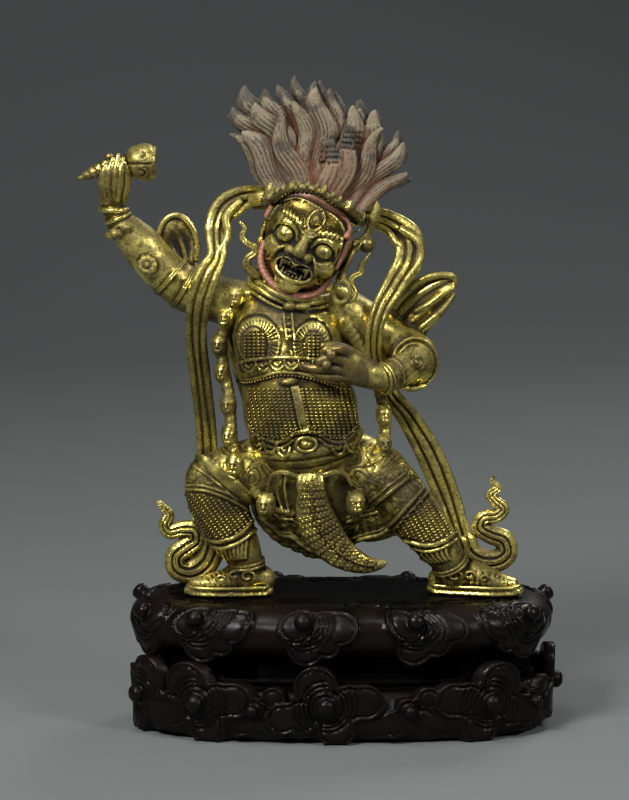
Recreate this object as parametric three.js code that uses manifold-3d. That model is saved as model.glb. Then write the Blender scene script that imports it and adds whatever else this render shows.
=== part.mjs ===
// A gilt-bronze figure of a wrathful armoured guardian, and the carved hardwood cloud stand
// that it is set on. Two solids: the figure is one casting, the stand one carving.
//
// Millimetres. +X is to the viewer's right, -Y is the front, +Z is up. The origin is under
// the middle of the whole work, on the surface that the stand rests on.
import * as THREE from "three";
import { mergeVertices } from "three/addons/utils/BufferGeometryUtils.js";
import Module from "manifold-3d";

const wasm = await Module();
wasm.setup();

// Driving dimensions.
const STAND_TOP = 48; // height of the table that the soles are set on
const SOLE_GAP = 0.3; // the casting is loose on the stand
const STAND_X = 6.9; // the stand's middle: the raised hand reaches out past one end of it
const STAND_HALF_LENGTH = 76.3;
const STAND_HALF_DEPTH = 38;
const STAND_SQUARENESS = 2.5; // 2 is an ellipse, more is nearer to a rectangle
const STAND_WALL = 7; // wall left round the hollow under the table
const SOLE = 2.6; // thickness of a boot's sole
const HEAD = [-5.8, -7, 175.5]; // middle of the head
const HEAD_TILT = 25; // degrees, towards the viewer's right
const HEAD_TURN = -8; // degrees, towards the viewer's left
const HAIR_ROOT = [-1.5, -1, 176]; // the point that the locks fan out from
const SCARF_THICKNESS = 2.6;

const FRONT = new THREE.Vector3(0, -1, 0);
const UP = new THREE.Vector3(0, 0, 1);
const rad = THREE.MathUtils.degToRad;
const vec = (x, y, z) => new THREE.Vector3(x, y, z);
const lerp = THREE.MathUtils.lerp;

// Solids and joining

/** A closed geometry as a solid: only its positions count, and shared corners are merged. */
function solid(geometry) {
  const bare = geometry.index ? geometry.toNonIndexed() : geometry.clone();
  for (const name of Object.keys(bare.attributes)) {
    if (name !== "position") bare.deleteAttribute(name);
  }
  const merged = mergeVertices(bare, 1e-3);
  return new wasm.Manifold(
    new wasm.Mesh({
      numProp: 3,
      vertProperties: merged.attributes.position.array,
      triVerts: new Uint32Array(merged.index.array),
    }),
  );
}

/** All the solids of a list, joined into one. */
const join = (solids) => solids.flat(Infinity).reduce((whole, next) => whole.add(next));

/** A solid as a geometry for a mesh. */
function geometryOf(made) {
  const mesh = made.getMesh();
  const places = new Float32Array(mesh.numVert * 3);
  for (let i = 0; i < mesh.numVert; i += 1) {
    const start = i * mesh.numProp;
    places.set(mesh.vertProperties.subarray(start, start + 3), i * 3);
  }
  const geometry = new THREE.BufferGeometry();
  geometry.setAttribute("position", new THREE.BufferAttribute(places, 3));
  geometry.setIndex(new THREE.BufferAttribute(mesh.triVerts, 1));
  geometry.computeVertexNormals();
  return geometry;
}

// Forms

/** A solid of triangles, whichever way round they all are. */
function closed(points, faces) {
  const geometry = new THREE.BufferGeometry().setFromPoints(points);
  geometry.setIndex(faces);
  const made = solid(geometry);
  if (made.volume() >= 0) return made;
  const other = faces.map((_, i) => faces[i - (i % 3) + ((3 - (i % 3)) % 3)]);
  geometry.setIndex(other);
  return solid(geometry);
}

/** A closed skin through rings of equally many points, with a point in the middle of each end. */
function skin(rings) {
  const sides = rings[0].length;
  const middle = (ring) =>
    ring.reduce((sum, point) => sum.add(point), vec(0, 0, 0)).divideScalar(sides);
  const points = [...rings.flat(), middle(rings[0]), middle(rings.at(-1))];
  const first = rings.length * sides;
  const faces = [];
  for (let i = 0; i < sides; i += 1) {
    const next = (i + 1) % sides;
    for (let r = 0; r + 1 < rings.length; r += 1) {
      const [a, b] = [r * sides + i, r * sides + next];
      faces.push(a, b, b + sides, a, b + sides, a + sides);
    }
    const last = (rings.length - 1) * sides;
    faces.push(first, next, i, first + 1, last + i, last + next);
  }
  return closed(points, faces);
}

/** Places along a smooth line through stations, each with its direction and its half sizes. */
function along(stations, perSpan) {
  const curve = (points) => new THREE.CatmullRomCurve3(points, false, "catmullrom");
  const line = curve(stations.map(([x, y, z]) => vec(x, y, z)));
  const sizes = curve(stations.map(([, , , wide, deep]) => vec(wide, deep ?? wide, 0)));
  const steps = (stations.length - 1) * perSpan;
  return Array.from({ length: steps + 1 }, (_, i) => {
    const size = sizes.getPoint(i / steps);
    return {
      at: line.getPoint(i / steps),
      way: line.getTangent(i / steps),
      wide: Math.max(size.x, 0.3),
      deep: Math.max(size.y, 0.3),
    };
  });
}

/** The two directions across a line: deep is towards the facing side, wide is square to it. */
function across(way, facing) {
  const deep = facing.clone().addScaledVector(way, -facing.dot(way)).normalize();
  return { deep, wide: vec(0, 0, 0).crossVectors(way, deep) };
}

/** A limb of oval section through stations [x, y, z, half width, half depth]. */
function limb(stations, { sides = 7, perSpan = 1, facing = FRONT, rounded = 0.55 } = {}) {
  const places = along(stations, perSpan);
  const ring = ({ at, way, wide, deep }, shrink = 1, push = 0) => {
    const axes = across(way, facing);
    const middle = at.clone().addScaledVector(way, push * Math.min(wide, deep));
    return Array.from({ length: sides }, (_, i) => {
      const turn = (2 * Math.PI * i) / sides;
      return middle
        .clone()
        .addScaledVector(axes.wide, shrink * wide * Math.cos(turn))
        .addScaledVector(axes.deep, shrink * deep * Math.sin(turn));
    });
  };
  const rings = places.map((place) => ring(place));
  if (rounded > 0) {
    rings.unshift(ring(places[0], 0.6, -rounded));
    rings.push(ring(places.at(-1), 0.6, rounded));
  }
  return skin(rings);
}

/** A solid turned by degrees about x, then y, then z, and moved. */
function placed(geometry, at, turns = [0, 0, 0]) {
  const turned = new THREE.Quaternion().setFromEuler(new THREE.Euler(...turns.map(rad)));
  const place = new THREE.Matrix4().compose(vec(...at), turned, vec(1, 1, 1));
  return solid(geometry.applyMatrix4(place));
}

/** An egg of three half sizes. */
const ball = (at, [a, b, c], turns, sides = 7) =>
  placed(new THREE.SphereGeometry(1, sides, Math.ceil(sides / 2)).scale(a, b, c), at, turns);

/** A hoop lying flat, of two half sizes and a bar of two half sizes, then turned. */
function hoop(at, [a, b], [barWide, barHigh], turns, sides = 12) {
  const bar = barWide / Math.max(a, b);
  const ring = new THREE.TorusGeometry(1, bar, 3, sides).scale(a, b, barHigh / bar);
  return placed(ring, at, turns);
}

/** A folded band: a strip with rounded pleats along it, through stations as a limb's. */
function band(stations, { pleats = 2, facing = FRONT, half = SCARF_THICKNESS / 2 } = {}) {
  const points = pleats * 2 + 1;
  const rings = along(stations, 1).map(({ at, way, wide }) => {
    const axes = across(way, facing);
    const thick = Math.min(half, wide);
    const front = Array.from({ length: points }, (_, i) => {
      const share = (2 * i) / (points - 1) - 1;
      const rise = i % 2 === 1 ? 1.5 : 0.7;
      return at
        .clone()
        .addScaledVector(axes.wide, share * wide)
        .addScaledVector(axes.deep, thick * rise * (Math.abs(share) === 1 ? 0 : 1));
    });
    const back = [0.6, -0.6].map((share) =>
      at
        .clone()
        .addScaledVector(axes.wide, share * wide)
        .addScaledVector(axes.deep, -thick),
    );
    return [...front, ...back];
  });
  return skin(rings);
}

/** A rounded rectangle in plan, as a ring of points at a height. */
function plan(z, halfLength, halfDepth, sides = 18, squareness = STAND_SQUARENESS) {
  return Array.from({ length: sides }, (_, i) => {
    const turn = (2 * Math.PI * i) / sides;
    const soft = (value) => Math.sign(value) * Math.abs(value) ** (2 / squareness);
    return vec(halfLength * soft(Math.cos(turn)), halfDepth * soft(Math.sin(turn)), z);
  });
}

// The armoured body

/** Chest and belly in their coat of armour, and the robe behind the shoulders. */
function trunk() {
  const body = limb(
    [
      [-4.5, -3, 93, 12, 10],
      [-5.4, -5.4, 100.4, 17, 16],
      [-5.8, -6, 103, 19.4, 18.2],
      [-6, -6.2, 104.8, 20.8, 19.7],
      [-6.4, -6.4, 106.8, 19.7, 18.5],
      [-8.2, -6.5, 115, 20.7, 19.6],
      [-10.4, -5.8, 125, 19.2, 18],
      [-11, -5.4, 129.4, 18.8, 16.8],
      [-11.4, -5.2, 131.4, 20.4, 18.6],
      [-11.8, -5, 133.6, 19.2, 16.8],
      [-13.3, -3.4, 143.5, 19.6, 15.8],
      [-13.2, -2.4, 151.5, 17.2, 13.2],
      [-12.6, -3, 155.4, 14.6, 11.8],
      [-12.2, -3.6, 157.4, 15.8, 13.2],
      [-11.5, -3.6, 160.4, 11, 9],
    ],
    { sides: 11 },
  );
  const robe = limb(
    [
      [-8, 7, 94, 19, 6],
      [-9, 7.5, 112, 19, 6],
      [-11, 6, 130, 22, 6.5],
      [-12, 5, 143, 26, 7.5],
      [-12, 4, 152, 25.5, 8],
      [-11, 3, 160, 14, 7],
    ],
    { sides: 6 },
  );
  return [body, robe];
}

/** What is fixed on the coat: the two round breast plates and the buckle. */
function plates() {
  return [
    ball([-6, -25, 105.8], [5.4, 2.4, 3.6], [0, 0, 0], 6),
    ball([-24.4, -13.6, 142], [7.6, 5, 9.6], [0, 6, -24], 8),
    ball([-3.4, -14.6, 140.6], [7, 4.6, 8.6], [0, -6, 24], 8),
  ];
}

/** The robe between the legs, which hangs in a rounded hem, and the rope that gathers it. */
function skirt() {
  const cloth = limb(
    [
      [-5, 0, 100, 19, 14],
      [-3, -1, 90, 24, 14],
      [-1, -1, 80, 25, 12],
      [0, -1, 71, 20, 9],
      [1, -2, 63.5, 9, 5],
    ],
    { sides: 9 },
  );
  const lap = limb([
    [14, -5, 88, 9, 8],
    [17, -6, 78, 10, 7.5],
    [18, -6, 71, 8.5, 5],
  ], { sides: 6 });
  return [cloth, lap, ball([-4.6, -15, 92.6], [6, 5, 2.4], [0, 0, 0], 6)];
}

/** The sash's long end: it swings down to the right and ends in a point. */
function sash() {
  const strip = [
    [-4, -16.5, 93, 4, 2.4],
    [-4.2, -17.5, 87, 4.8, 3],
    [-3, -17.5, 79.5, 6.4, 3.2],
    [0.4, -17, 72, 6.8, 3],
    [6, -16.5, 65.6, 5.4, 2.6],
    [13, -16, 61.4, 3.4, 2],
    [22.8, -15.5, 61.8, 0.8, 0.8],
  ];
  const rib = strip.map(([x, y, z, wide]) => [x, y - 2.4, z, wide * 0.2, 1.4]);
  return [limb(strip, { sides: 6, rounded: 0 }), limb(rib.slice(0, -1), { sides: 3, rounded: 0 })];
}

// The head

/** How the head is held: tilted over to one side, and turned a little. */
const HEAD_POSE = new THREE.Euler(0, rad(HEAD_TILT), rad(HEAD_TURN), "YZX");

/** A place on the head, from its middle: right, out and up as the face has them. */
const onHead = (right, out, up) =>
  vec(right, -out, up).applyEuler(HEAD_POSE).add(vec(...HEAD));

/** An egg on the head, given in the face's own directions. */
function onFace(right, out, up, sizes, sides = 5) {
  const egg = new THREE.SphereGeometry(1, sides, Math.ceil(sides / 2));
  const turn = new THREE.Matrix4().makeRotationFromEuler(HEAD_POSE);
  egg.scale(...sizes).applyMatrix4(turn);
  return solid(egg.translate(...onHead(right, out, up).toArray()));
}

/** A bar through places on the head, [right, out, up, half width, half depth] each. */
const faceBar = (stations, options) =>
  limb(
    stations.map(([right, out, up, wide, deep]) => [
      ...onHead(right, out, up).toArray(),
      wide,
      deep,
    ]),
    { sides: 4, rounded: 0, ...options },
  );

/** The skull with brows, three bulging eyes, a flat nose and a wide open mouth. */
function face() {
  const skull = [onFace(0, 0, 2, [15.2, 13.4, 15.2], 10), onFace(0.4, 1.5, -7, [12, 11, 10.6], 7)];
  const features = [-1, 1].flatMap((side) => [
    onFace(side * 7.2, 11, 0.8, [3.7, 3.2, 3.7], 6),
    onFace(side * 8.8, 9.4, -4.8, [4.2, 4, 3.4]),
    onFace(side * 3, 14, -3.6, [2.3, 2, 1.8]),
    onFace(side * 15.4, -1.5, 0, [2, 2.6, 4.8]),
    faceBar([
      [side * 2, 13.4, 2.4, 1, 1.2],
      [side * 6.6, 12.8, 6.6, 2, 1.9],
      [side * 12.4, 8.4, 8.6, 0.9, 1],
    ]),
  ]);
  const mouthAt = (turn) => [8 * Math.cos(turn), 12.6, -9.4 + 4 * Math.sin(turn)];
  const lips = faceBar(
    Array.from({ length: 7 }, (_, i) => [...mouthAt((Math.PI * i) / 3), 1.5, 1.5]),
    { rounded: 0 },
  );
  const nose = onFace(0, 14.6, -1, [2.1, 2.4, 3.6]);
  const thirdEye = onFace(-0.6, 12.2, 9.4, [2.3, 2, 3.1]);
  const mouth = onFace(0, 13.4, -9.4, [6.4, 4.6, 2.9], 6);
  return [join([skull, features, lips, nose, thirdEye]).subtract(mouth)];
}

/** The band of ornaments round the brow, with a rosette and a knot at each temple. */
function tiara() {
  const rise = faceBar(
    Array.from({ length: 7 }, (_, i) => {
      const turn = rad(-81 + 27 * i);
      const [s, c] = [Math.sin(turn), Math.cos(turn)];
      return [14.6 * s, 9.5 * c - 1, 17.4 - 5 * s * s, 2.6, 2.2];
    }),
    { facing: UP },
  );
  return [
    rise,
    ball([-17.6, -5, 195], [2.6, 2.6, 4.6], [0, -10, 0], 5),
    ball([-18.4, -2, 190.6], [7, 3.6, 3.2], [0, 0, 0], 5),
    ball([18, -4, 186.6], [2.8, 2.8, 3], [0, 40, 0], 5),
    ball([15.4, -4, 175], [2.9, 2.9, 2.9], [0, 0, 0], 6),
    limb(
      [
        [8, -6, 174, 1.8],
        [15.4, -4, 178, 1.5],
        [18, -4, 186, 1.8],
      ],
      { sides: 4, rounded: 0 },
    ),
  ];
}

/** The hoops in the ears, each with a small flame that rises beside the cheek. */
function earrings() {
  const flame = (stations) => limb(stations, { sides: 4, rounded: 0 });
  return [
    flame([
      [-19, -6.6, 171, 2],
      [-24.4, -8.5, 162.4, 2],
      [-27.4, -9, 168.6, 2],
      [-24.8, -9, 173, 2],
      [-28.2, -9, 177, 1.7],
      [-29.4, -9, 183.4, 0.7],
    ]),
    hoop([6.4, -12, 158.6], [2.5, 3.8], [0.9, 0.9], [90, 0, -8], 8),
    flame([
      [6.6, -11.6, 161.8, 1.4],
      [7.4, -9, 168, 1.8],
      [8, -7, 173, 1.6],
    ]),
    flame([
      [5.6, -11.8, 154.6, 1.2],
      [10.4, -10, 156.6, 1.7],
      [10.6, -9, 162.6, 1.9],
      [13, -9, 167, 1.6],
      [16, -9, 171.4, 0.5],
    ]),
  ];
}

/** How far a lock reaches from the hair's root, by its angle from upright in degrees. */
const lockReach = (angle) => 59 - 0.12 * angle - 0.0055 * angle * angle;

/** A place in the fan of hair, by its angle from upright, how far out it is, and its depth. */
const inFan = (angle, out, y) =>
  vec(
    HAIR_ROOT[0] + out * Math.sin(rad(angle)),
    HAIR_ROOT[1] + y,
    HAIR_ROOT[2] + out * Math.cos(rad(angle)),
  );

/**
 * A layer of the hair: ridged locks side by side, each a wave that ends in a point. The ridges
 * stand up from the layer's plane by front towards -Y, and by back towards +Y.
 */
function fan({ from, to, count, share, plane, front, back }) {
  const last = count * 2;
  const row = ([tip, notch, swing, rise], proud) =>
    Array.from({ length: last + 1 }, (_, i) => {
      const [ridge, which] = [i % 2 === 1, Math.floor(i / 2)];
      const edge = i === 0 || i === last;
      const swung = edge ? 0 : swing * (which % 2 === 0 ? 1 : -0.7);
      const reach = lockReach(lerp(from, to, i / last)) * share * (1 - 0.03 * ((which * 2) % 3));
      const depth = plane + (edge ? 0 : proud * rise * (ridge ? 1 : 0.6));
      return inFan(lerp(from, to, i / last) + swung, reach * (ridge ? tip : notch), depth);
    });
  const waves = [
    [0.5, 0.5, -1.2, 1],
    [0.78, 0.72, 1.6, 0.7],
  ];
  const end = row([1, 0.88, 2.4, 0], 0);
  const root = inFan(0, -6, 0);
  const sheet = (proud) => {
    const rows = [...waves.map((wave) => row(wave, proud)), end];
    const base = rows[0].slice(1).map((point, i) => [root, rows[0][i], point]);
    const strips = rows.slice(1).flatMap((outer, r) =>
      outer.slice(1).flatMap((_, i) => [
        [rows[r][i], outer[i], outer[i + 1]],
        [rows[r][i], outer[i + 1], rows[r][i + 1]],
      ]),
    );
    return [...base, ...strips];
  };
  const points = [...sheet(-front), ...sheet(back).map((triangle) => triangle.reverse())].flat();
  return closed(points, [...points.keys()]);
}

/** The hair: layers of flame-like locks, the shorter ones in front. */
function hair() {
  return [
    fan({ from: -38, to: 54, count: 10, share: 1.01, plane: 1, front: 8, back: 6 }),
    fan({ from: -28, to: 46, count: 7, share: 0.86, plane: -4.5, front: 5, back: 3 }),
    fan({ from: -20, to: 42, count: 6, share: 0.66, plane: -8, front: 4, back: 4 }),
  ];
}

// Arms and hands

/** A finger: a short limb of one radius. */
const finger = (radius, ...points) =>
  limb(
    points.map((point) => [...point, radius, radius]),
    { sides: 4, facing: vec(0.3, -0.7, 0.65), rounded: 0.5 },
  );

/** The arm raised to the left, the fist, and the grip with a twisted spike and a pommel. */
function raisedArm() {
  const arm = limb([
    [-30, 1, 153, 8.5, 8.5],
    [-47, -0.5, 157.5, 8.5, 8.4],
    [-59, -2.5, 167, 7.7, 7.8],
    [-65.4, -3.4, 174.8, 7.5, 7.4],
    [-70, -4, 179.8, 5.8, 5.8],
    [-71.8, -4.2, 181.8, 5.6, 5.6],
    [-73, -4.3, 183.6, 5.8, 5.8],
    [-73.2, -4.3, 184.2, 4.2, 4.2],
    [-74.4, -4.5, 186.6, 4, 4],
    [-74.7, -4.6, 187.6, 5.2, 5.2],
    [-74.9, -4.6, 188.8, 3.9, 3.9],
    [-74.6, -4.6, 194, 4.8, 3.8],
    [-74.2, -4.4, 200, 4.4, 3],
  ]);
  const fingers = band(
    [
      [-74.4, -6.4, 192.4, 5],
      [-74, -8.6, 197, 5.2],
      [-73.6, -9, 202, 5],
      [-72.8, -6.6, 207.4, 4.2],
    ],
    { pleats: 4, half: 1.1, facing: vec(0.1, -1, 0.1) },
  );
  const grip = limb(
    [
      [-87, -5, 198.7, 1.3],
      [-78, -5, 202, 2.6],
      [-70.6, -5, 203.8, 3.2],
      [-67.8, -5, 204.1, 6],
      [-64, -5, 204.3, 6.9],
      [-60.4, -5, 204.4, 6.2],
    ],
    { rounded: 0 },
  );
  return [
    arm,
    fingers,
    finger(1.6, [-71, -4.6, 192.6], [-68.4, -6.6, 197], [-70.4, -7.4, 202]),
    grip,
    ball([-62.8, -10.2, 170], [3.7, 1.8, 3.7], [0, 0, 0], 6),
    ball([-51.6, 4, 174.4], [7.4, 2.6, 11], [0, -10, 0], 8),
  ];
}

/** The bent arm, the broad hand with two round jewels, and the wings of its sleeve. */
function bentArm() {
  const arm = limb(
    [
      [0, 1, 151, 9, 9.5],
      [12, 2, 146.4, 8.6, 8.8],
      [23, 1.6, 140, 8, 8.2],
      [33, -1.4, 134.4, 7.6, 8.8],
      [33.4, -7.8, 132.6, 6.8, 8.4],
      [27, -12.6, 130.6, 5.2, 5.4],
      [22, -17, 128.5, 4.6, 4.8],
      [15.5, -21.5, 130.9, 3.9, 5.3],
      [9.5, -24.6, 134.3, 3.6, 6.8],
      [4.2, -26.4, 136.6, 3, 6],
    ],
    { facing: UP },
  );
  const wing = (stations) => band(stations, { pleats: 2, half: 1.1, facing: vec(-0.3, -0.95, 0.1) });
  return [
    arm,
    ball([34, -13, 135.8], [3.8, 2.6, 3.6], [0, 0, 20], 6),
    ball([3, -28.8, 139.6], [2.4, 2.4, 2.4], [0, 0, 0], 5),
    ball([1.4, -29.4, 136.4], [2.3, 2.3, 2.3], [0, 0, 0], 5),
    finger(1.5, [7.5, -26, 141.2], [3.4, -29, 143.8], [0, -30.6, 143.2]),
    finger(1.4, [3, -27, 134.4], [-2, -28.8, 133.8], [-7.6, -29, 135]),
    finger(1.4, [4, -27.4, 137], [-1.4, -30.4, 137.2], [-0.6, -31, 140.6]),
    wing([
      [24, 3, 140, 4.4],
      [31, 3, 150, 5.6],
      [40, 3, 157.4, 6.2],
      [46, 3, 160, 3.4],
    ]),
    wing([
      [28, 2, 138.6, 4.4],
      [37, 2, 147.4, 4.2],
      [45, 2, 154, 1.2],
    ]),
  ];
}

// Legs and boots

/** A boot's sole, laid flat on the stand, from heel to toe. */
function sole(heel, toe, halfWidth) {
  const lead = vec(toe[0] - heel[0], toe[1] - heel[1], 0);
  const outline = plan(0, lead.length() / 2, halfWidth, 10, 2.6).map(({ x, y }) => {
    const waisted = y * (0.86 + 0.16 * Math.cos((3 * x) / halfWidth));
    return new THREE.Vector2(x, waisted);
  });
  const middle = [(heel[0] + toe[0]) / 2, (heel[1] + toe[1]) / 2, STAND_TOP + SOLE_GAP];
  const turn = THREE.MathUtils.radToDeg(Math.atan2(lead.y, lead.x));
  const slab = new THREE.ExtrudeGeometry(new THREE.Shape(outline), {
    depth: SOLE,
    bevelEnabled: false,
  });
  return placed(slab, middle, [0, 0, turn]);
}

/** The bent leg on the left: thigh, knee, mail over the shin, and the boot. */
function bentLeg() {
  return [
    limb([
      [-8, 0, 94, 13, 12],
      [-23, -5, 93.5, 11.8, 11],
      [-35, -9.5, 92, 10, 10],
      [-42, -11, 89.6, 7.6, 8.4],
    ]),
    limb([
      [-43, -12.6, 93, 6, 7],
      [-39.4, -11, 84.4, 10, 10],
      [-35.6, -9.4, 76, 10.2, 9.2],
      [-31.8, -8.4, 69.4, 7.6, 7.8],
      [-28.8, -7.4, 63.6, 6.6, 7.4],
      [-28, -7, 61.4, 6.8, 7.6],
      [-27.6, -6.6, 60, 5.8, 6.4],
      [-27.4, -6.4, 55, 6.2, 6.6],
    ]),
    limb([
      [-21, -6, 54.4, 4.4, 5.4],
      [-28, -6.2, 56, 6, 6.4],
      [-36.6, -6.6, 53.8, 4.2, 6.2],
      [-45.8, -7.2, 52, 2.6, 4.6],
    ]),
    sole([-18.6, -6], [-48.4, -7.2], 7.2),
  ];
}

/** The straight leg on the right, thrust out, with mail over the shin, and the boot. */
function straightLeg() {
  return [
    limb([
      [6, 0, 96, 12, 12],
      [19.5, -5.5, 90.5, 12, 11.4],
      [28.6, -8.6, 82, 9.8, 10],
      [36.4, -9, 73, 8.4, 8.8],
      [42.4, -8, 66, 6.9, 7.6],
      [44.4, -7.4, 62.6, 7.4, 8.2],
      [45.2, -7, 61, 6.2, 6.8],
      [47.4, -5.4, 56, 6, 6.6],
    ]),
    limb([
      [42.6, -2.4, 53.8, 4.6, 5.6],
      [49.4, -4, 56, 6.2, 6.4],
      [58.6, -6, 54.2, 4.6, 6.4],
      [67.4, -7.8, 52.2, 2.6, 4.6],
    ]),
    sole([38.8, -1.6], [70.2, -8.2], 7.2),
  ];
}

// What hangs on the figure

/** The rope of small severed heads that hangs from the shoulders across the thighs. */
function garland() {
  const rope = (stations) =>
    limb(
      stations.map((at) => [...at, 1.7, 1.7]),
      { sides: 4, rounded: 0 },
    );
  const heads = [
    [-37, -6, 138.4],
    [-34, -10, 116.6],
    [-31.4, -16.5, 97],
    [-20.6, -11.6, 82.8],
    [21.4, -8, 113.6],
    [11, -14.4, 84],
  ];
  return [
    rope([
      [-25, -5, 158],
      [-33.4, -4, 149],
      [-36.4, -5, 138],
      [-32.6, -8, 122],
      [-31.6, -12, 106],
      [-25, -13, 92],
    ]),
    rope([
      [8, -4, 131],
      [18.6, -6.6, 118],
      [22, -6, 98],
    ]),
    heads.map((at) => ball(at, [3.5, 3.5, 4.2], [0, 0, 0], 5)),
  ];
}

/** The long scarf that floats behind the head and falls at both sides into a curled end. */
function scarf() {
  const left = band([
    [-6, 4, 185, 4.4],
    [-18, 6.6, 190.2, 3.7],
    [-27, 4.4, 191.2, 3.8],
    [-34.6, 1.8, 187.8, 4.6],
    [-38, -0.5, 181, 4.2],
    [-38, -6, 171, 3.3],
    [-41, -9.4, 165, 4.4],
    [-44.4, -9.4, 155, 4.2],
    [-45.6, -5, 142, 3.8],
    [-44.4, 0, 127, 3.8],
    [-42.4, 2, 108, 3.7],
    [-41.4, 3.2, 88, 3.7],
    [-39.4, 2, 66, 3.8],
  ]);
  const right = band([
    [-4, 4, 183, 4.4],
    [12, 7, 184, 4],
    [23, 5.6, 181.6, 4.1],
    [30, 3, 176.4, 5.4],
    [30, -0.5, 169, 5.3],
    [26, -4.4, 161.4, 4.1],
    [20.6, -8.4, 152.6, 3.3],
    [18, -9.4, 143, 3],
    [18.6, -7.4, 133.4, 2.8],
    [23.4, -2.6, 121.4, 3.2],
    [30.6, 0.4, 111.4, 4.1],
    [38, 2.6, 98.4, 4.9],
    [44, 3.4, 84, 5],
    [48.6, 2, 70.4, 4.2],
    [50.6, 1, 63.8, 3.8],
  ]);
  const curl = (middle, widths) =>
    limb(middle.map(([x, z], i) => {
      const wide = lerp(widths[0], widths[1], i / (middle.length - 1));
      return [x, 1.5, z, wide, Math.min(wide, 2.2)];
    }), { sides: 4, rounded: 0 });
  return [
    left,
    right,
    curl([
      [-39.8, 68],
      [-41.6, 59],
      [-48, 54.8],
      [-53.4, 57.4],
      [-52.4, 62.4],
      [-46.4, 66],
      [-47, 70],
      [-53.6, 68.8],
      [-57, 71.6],
      [-56, 76],
      [-59.6, 80.4],
    ], [4, 1]),
    curl([
      [51, 66],
      [54.4, 60.8],
      [61, 59],
      [66.4, 61.4],
      [65.6, 66.6],
      [58.6, 69],
      [57.2, 73.4],
      [62.6, 75.2],
      [65, 78.4],
      [60.8, 82],
      [63, 85.4],
      [61.8, 89.6],
    ], [3.8, 1]),
  ];
}

/** The whole casting. */
function figure() {
  return join([
    trunk(),
    plates(),
    skirt(),
    sash(),
    face(),
    tiara(),
    earrings(),
    hair(),
    raisedArm(),
    bentArm(),
    bentLeg(),
    straightLeg(),
    garland(),
    scarf(),
  ]);
}

// The stand

/** A place on the stand's rim by its angle in plan, and the way straight out from it. */
function onRim(angle, height, inset) {
  const [a, b] = [STAND_HALF_LENGTH - inset, STAND_HALF_DEPTH - inset];
  const soft = (value) => Math.sign(value) * Math.abs(value) ** (2 / STAND_SQUARENESS);
  const [x, y] = [soft(Math.cos(rad(angle))), soft(Math.sin(rad(angle)))];
  const steep = (value) => Math.sign(value) * Math.abs(value) ** (STAND_SQUARENESS - 1);
  return { at: vec(a * x, b * y, height), out: vec(steep(x) / a, steep(y) / b, 0).normalize() };
}

/** An outline of round lobes, [right, up, radius, from, to]: each is an arc between two angles. */
const lobed = (lobes) =>
  lobes.flatMap(([right, up, radius, from, to]) =>
    [0, 1, 2, 3].map((i) => {
      const turn = rad(lerp(from, to, i / 3));
      return [right + radius * Math.cos(turn), up + radius * Math.sin(turn)];
    }),
  );

/** A cloud on the rim: round lobes about a scroll, with a knob in its middle. */
function cloud({ at, out }, { lean, lobes, knob }) {
  const sideways = vec(-out.y, out.x, 0);
  const facing = out.clone().applyAxisAngle(sideways, -rad(lean));
  const rise = vec(0, 0, 0).crossVectors(facing, sideways);
  const ring = (share, proud) =>
    lobed(lobes).map(([right, up]) =>
      at
        .clone()
        .addScaledVector(sideways, right * share)
        .addScaledVector(rise, up * share)
        .addScaledVector(facing, proud),
    );
  const boss = new THREE.SphereGeometry(knob, 5, 3);
  const bossAt = at.clone().addScaledVector(facing, 3.4);
  return [skin([ring(1, -3), ring(0.88, 2.2)]), solid(boss.translate(...bossAt))];
}

/** The carved stand: a table with clouds on its rim, a pierced waist and a ring of clouds. */
function stand() {
  const oval = (z, inset, sides) =>
    plan(z, STAND_HALF_LENGTH - inset, STAND_HALF_DEPTH - inset, sides);
  const table = skin([oval(30, 7), oval(38, 0.5), oval(STAND_TOP, 10)]);
  const waist = skin([oval(8, 9), oval(31, 9)]);
  const foot = skin([oval(0, 4), oval(5, 0.5), oval(18, 5)]);
  const wall = 9 + STAND_WALL;
  const hollow = skin([oval(-1, wall, 10), oval(37, wall, 10)]);
  const windows = [-115, -66, 70, 114].map((angle) => {
    const { at, out } = onRim(angle, 23.5, wall);
    const turn = THREE.MathUtils.radToDeg(Math.atan2(out.y, out.x)) - 90;
    return placed(new THREE.BoxGeometry(12, 24, 9), at.toArray(), [0, 0, turn]);
  });
  const upper = [-166, -137, -98, -73, -27, 14, 48, 77, 103, 132, 162].map((angle) =>
    cloud(onRim(angle, 43.4, 4.6), {
      lean: 38,
      lobes: [
        [0, 0, 8.6, 55, 205],
        [0.6, -9, 5.6, 195, 330],
        [9, -1.6, 5, -70, 75],
      ],
      knob: 3.6,
    }),
  );
  const lower = [-176, -133, -92, -44, 4, 48, 92, 136].map((angle) =>
    cloud(onRim(angle, 14.4, 1.6), {
      lean: 8,
      lobes: [
        [-2, 8, 7, 20, 160],
        [-12, -2.6, 7.6, 120, 250],
        [1, -9, 6.8, 215, 325],
        [11.4, -1.6, 8, -70, 70],
      ],
      knob: 3.6,
    }),
  );
  const floor = solid(new THREE.BoxGeometry(400, 400, 20).translate(0, 0, -10));
  const seat = skin([plan(STAND_TOP, 62, 22, 16), plan(STAND_TOP + 20, 62, 22, 16)]);
  return join([table, waist, foot])
    .subtract(join(windows))
    .add(join([upper, lower]))
    .subtract(join([hollow, floor, seat]));
}

// The whole work

const gilt = new THREE.MeshStandardMaterial({ color: 0xb8922e, roughness: 0.34, metalness: 1 });
const darkWood = new THREE.MeshStandardMaterial({ color: 0x1d0f0b, roughness: 0.38, metalness: 0 });

const begtseFigure = new THREE.Mesh(geometryOf(figure()), gilt);
begtseFigure.name = "begtse_figure";

const cloudStand = new THREE.Mesh(geometryOf(stand()), darkWood);
cloudStand.name = "cloud_stand";
cloudStand.position.x = STAND_X;

const statue = new THREE.Group();
statue.name = "begtse_statue";
statue.add(begtseFigure, cloudStand);

export default statue;
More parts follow.
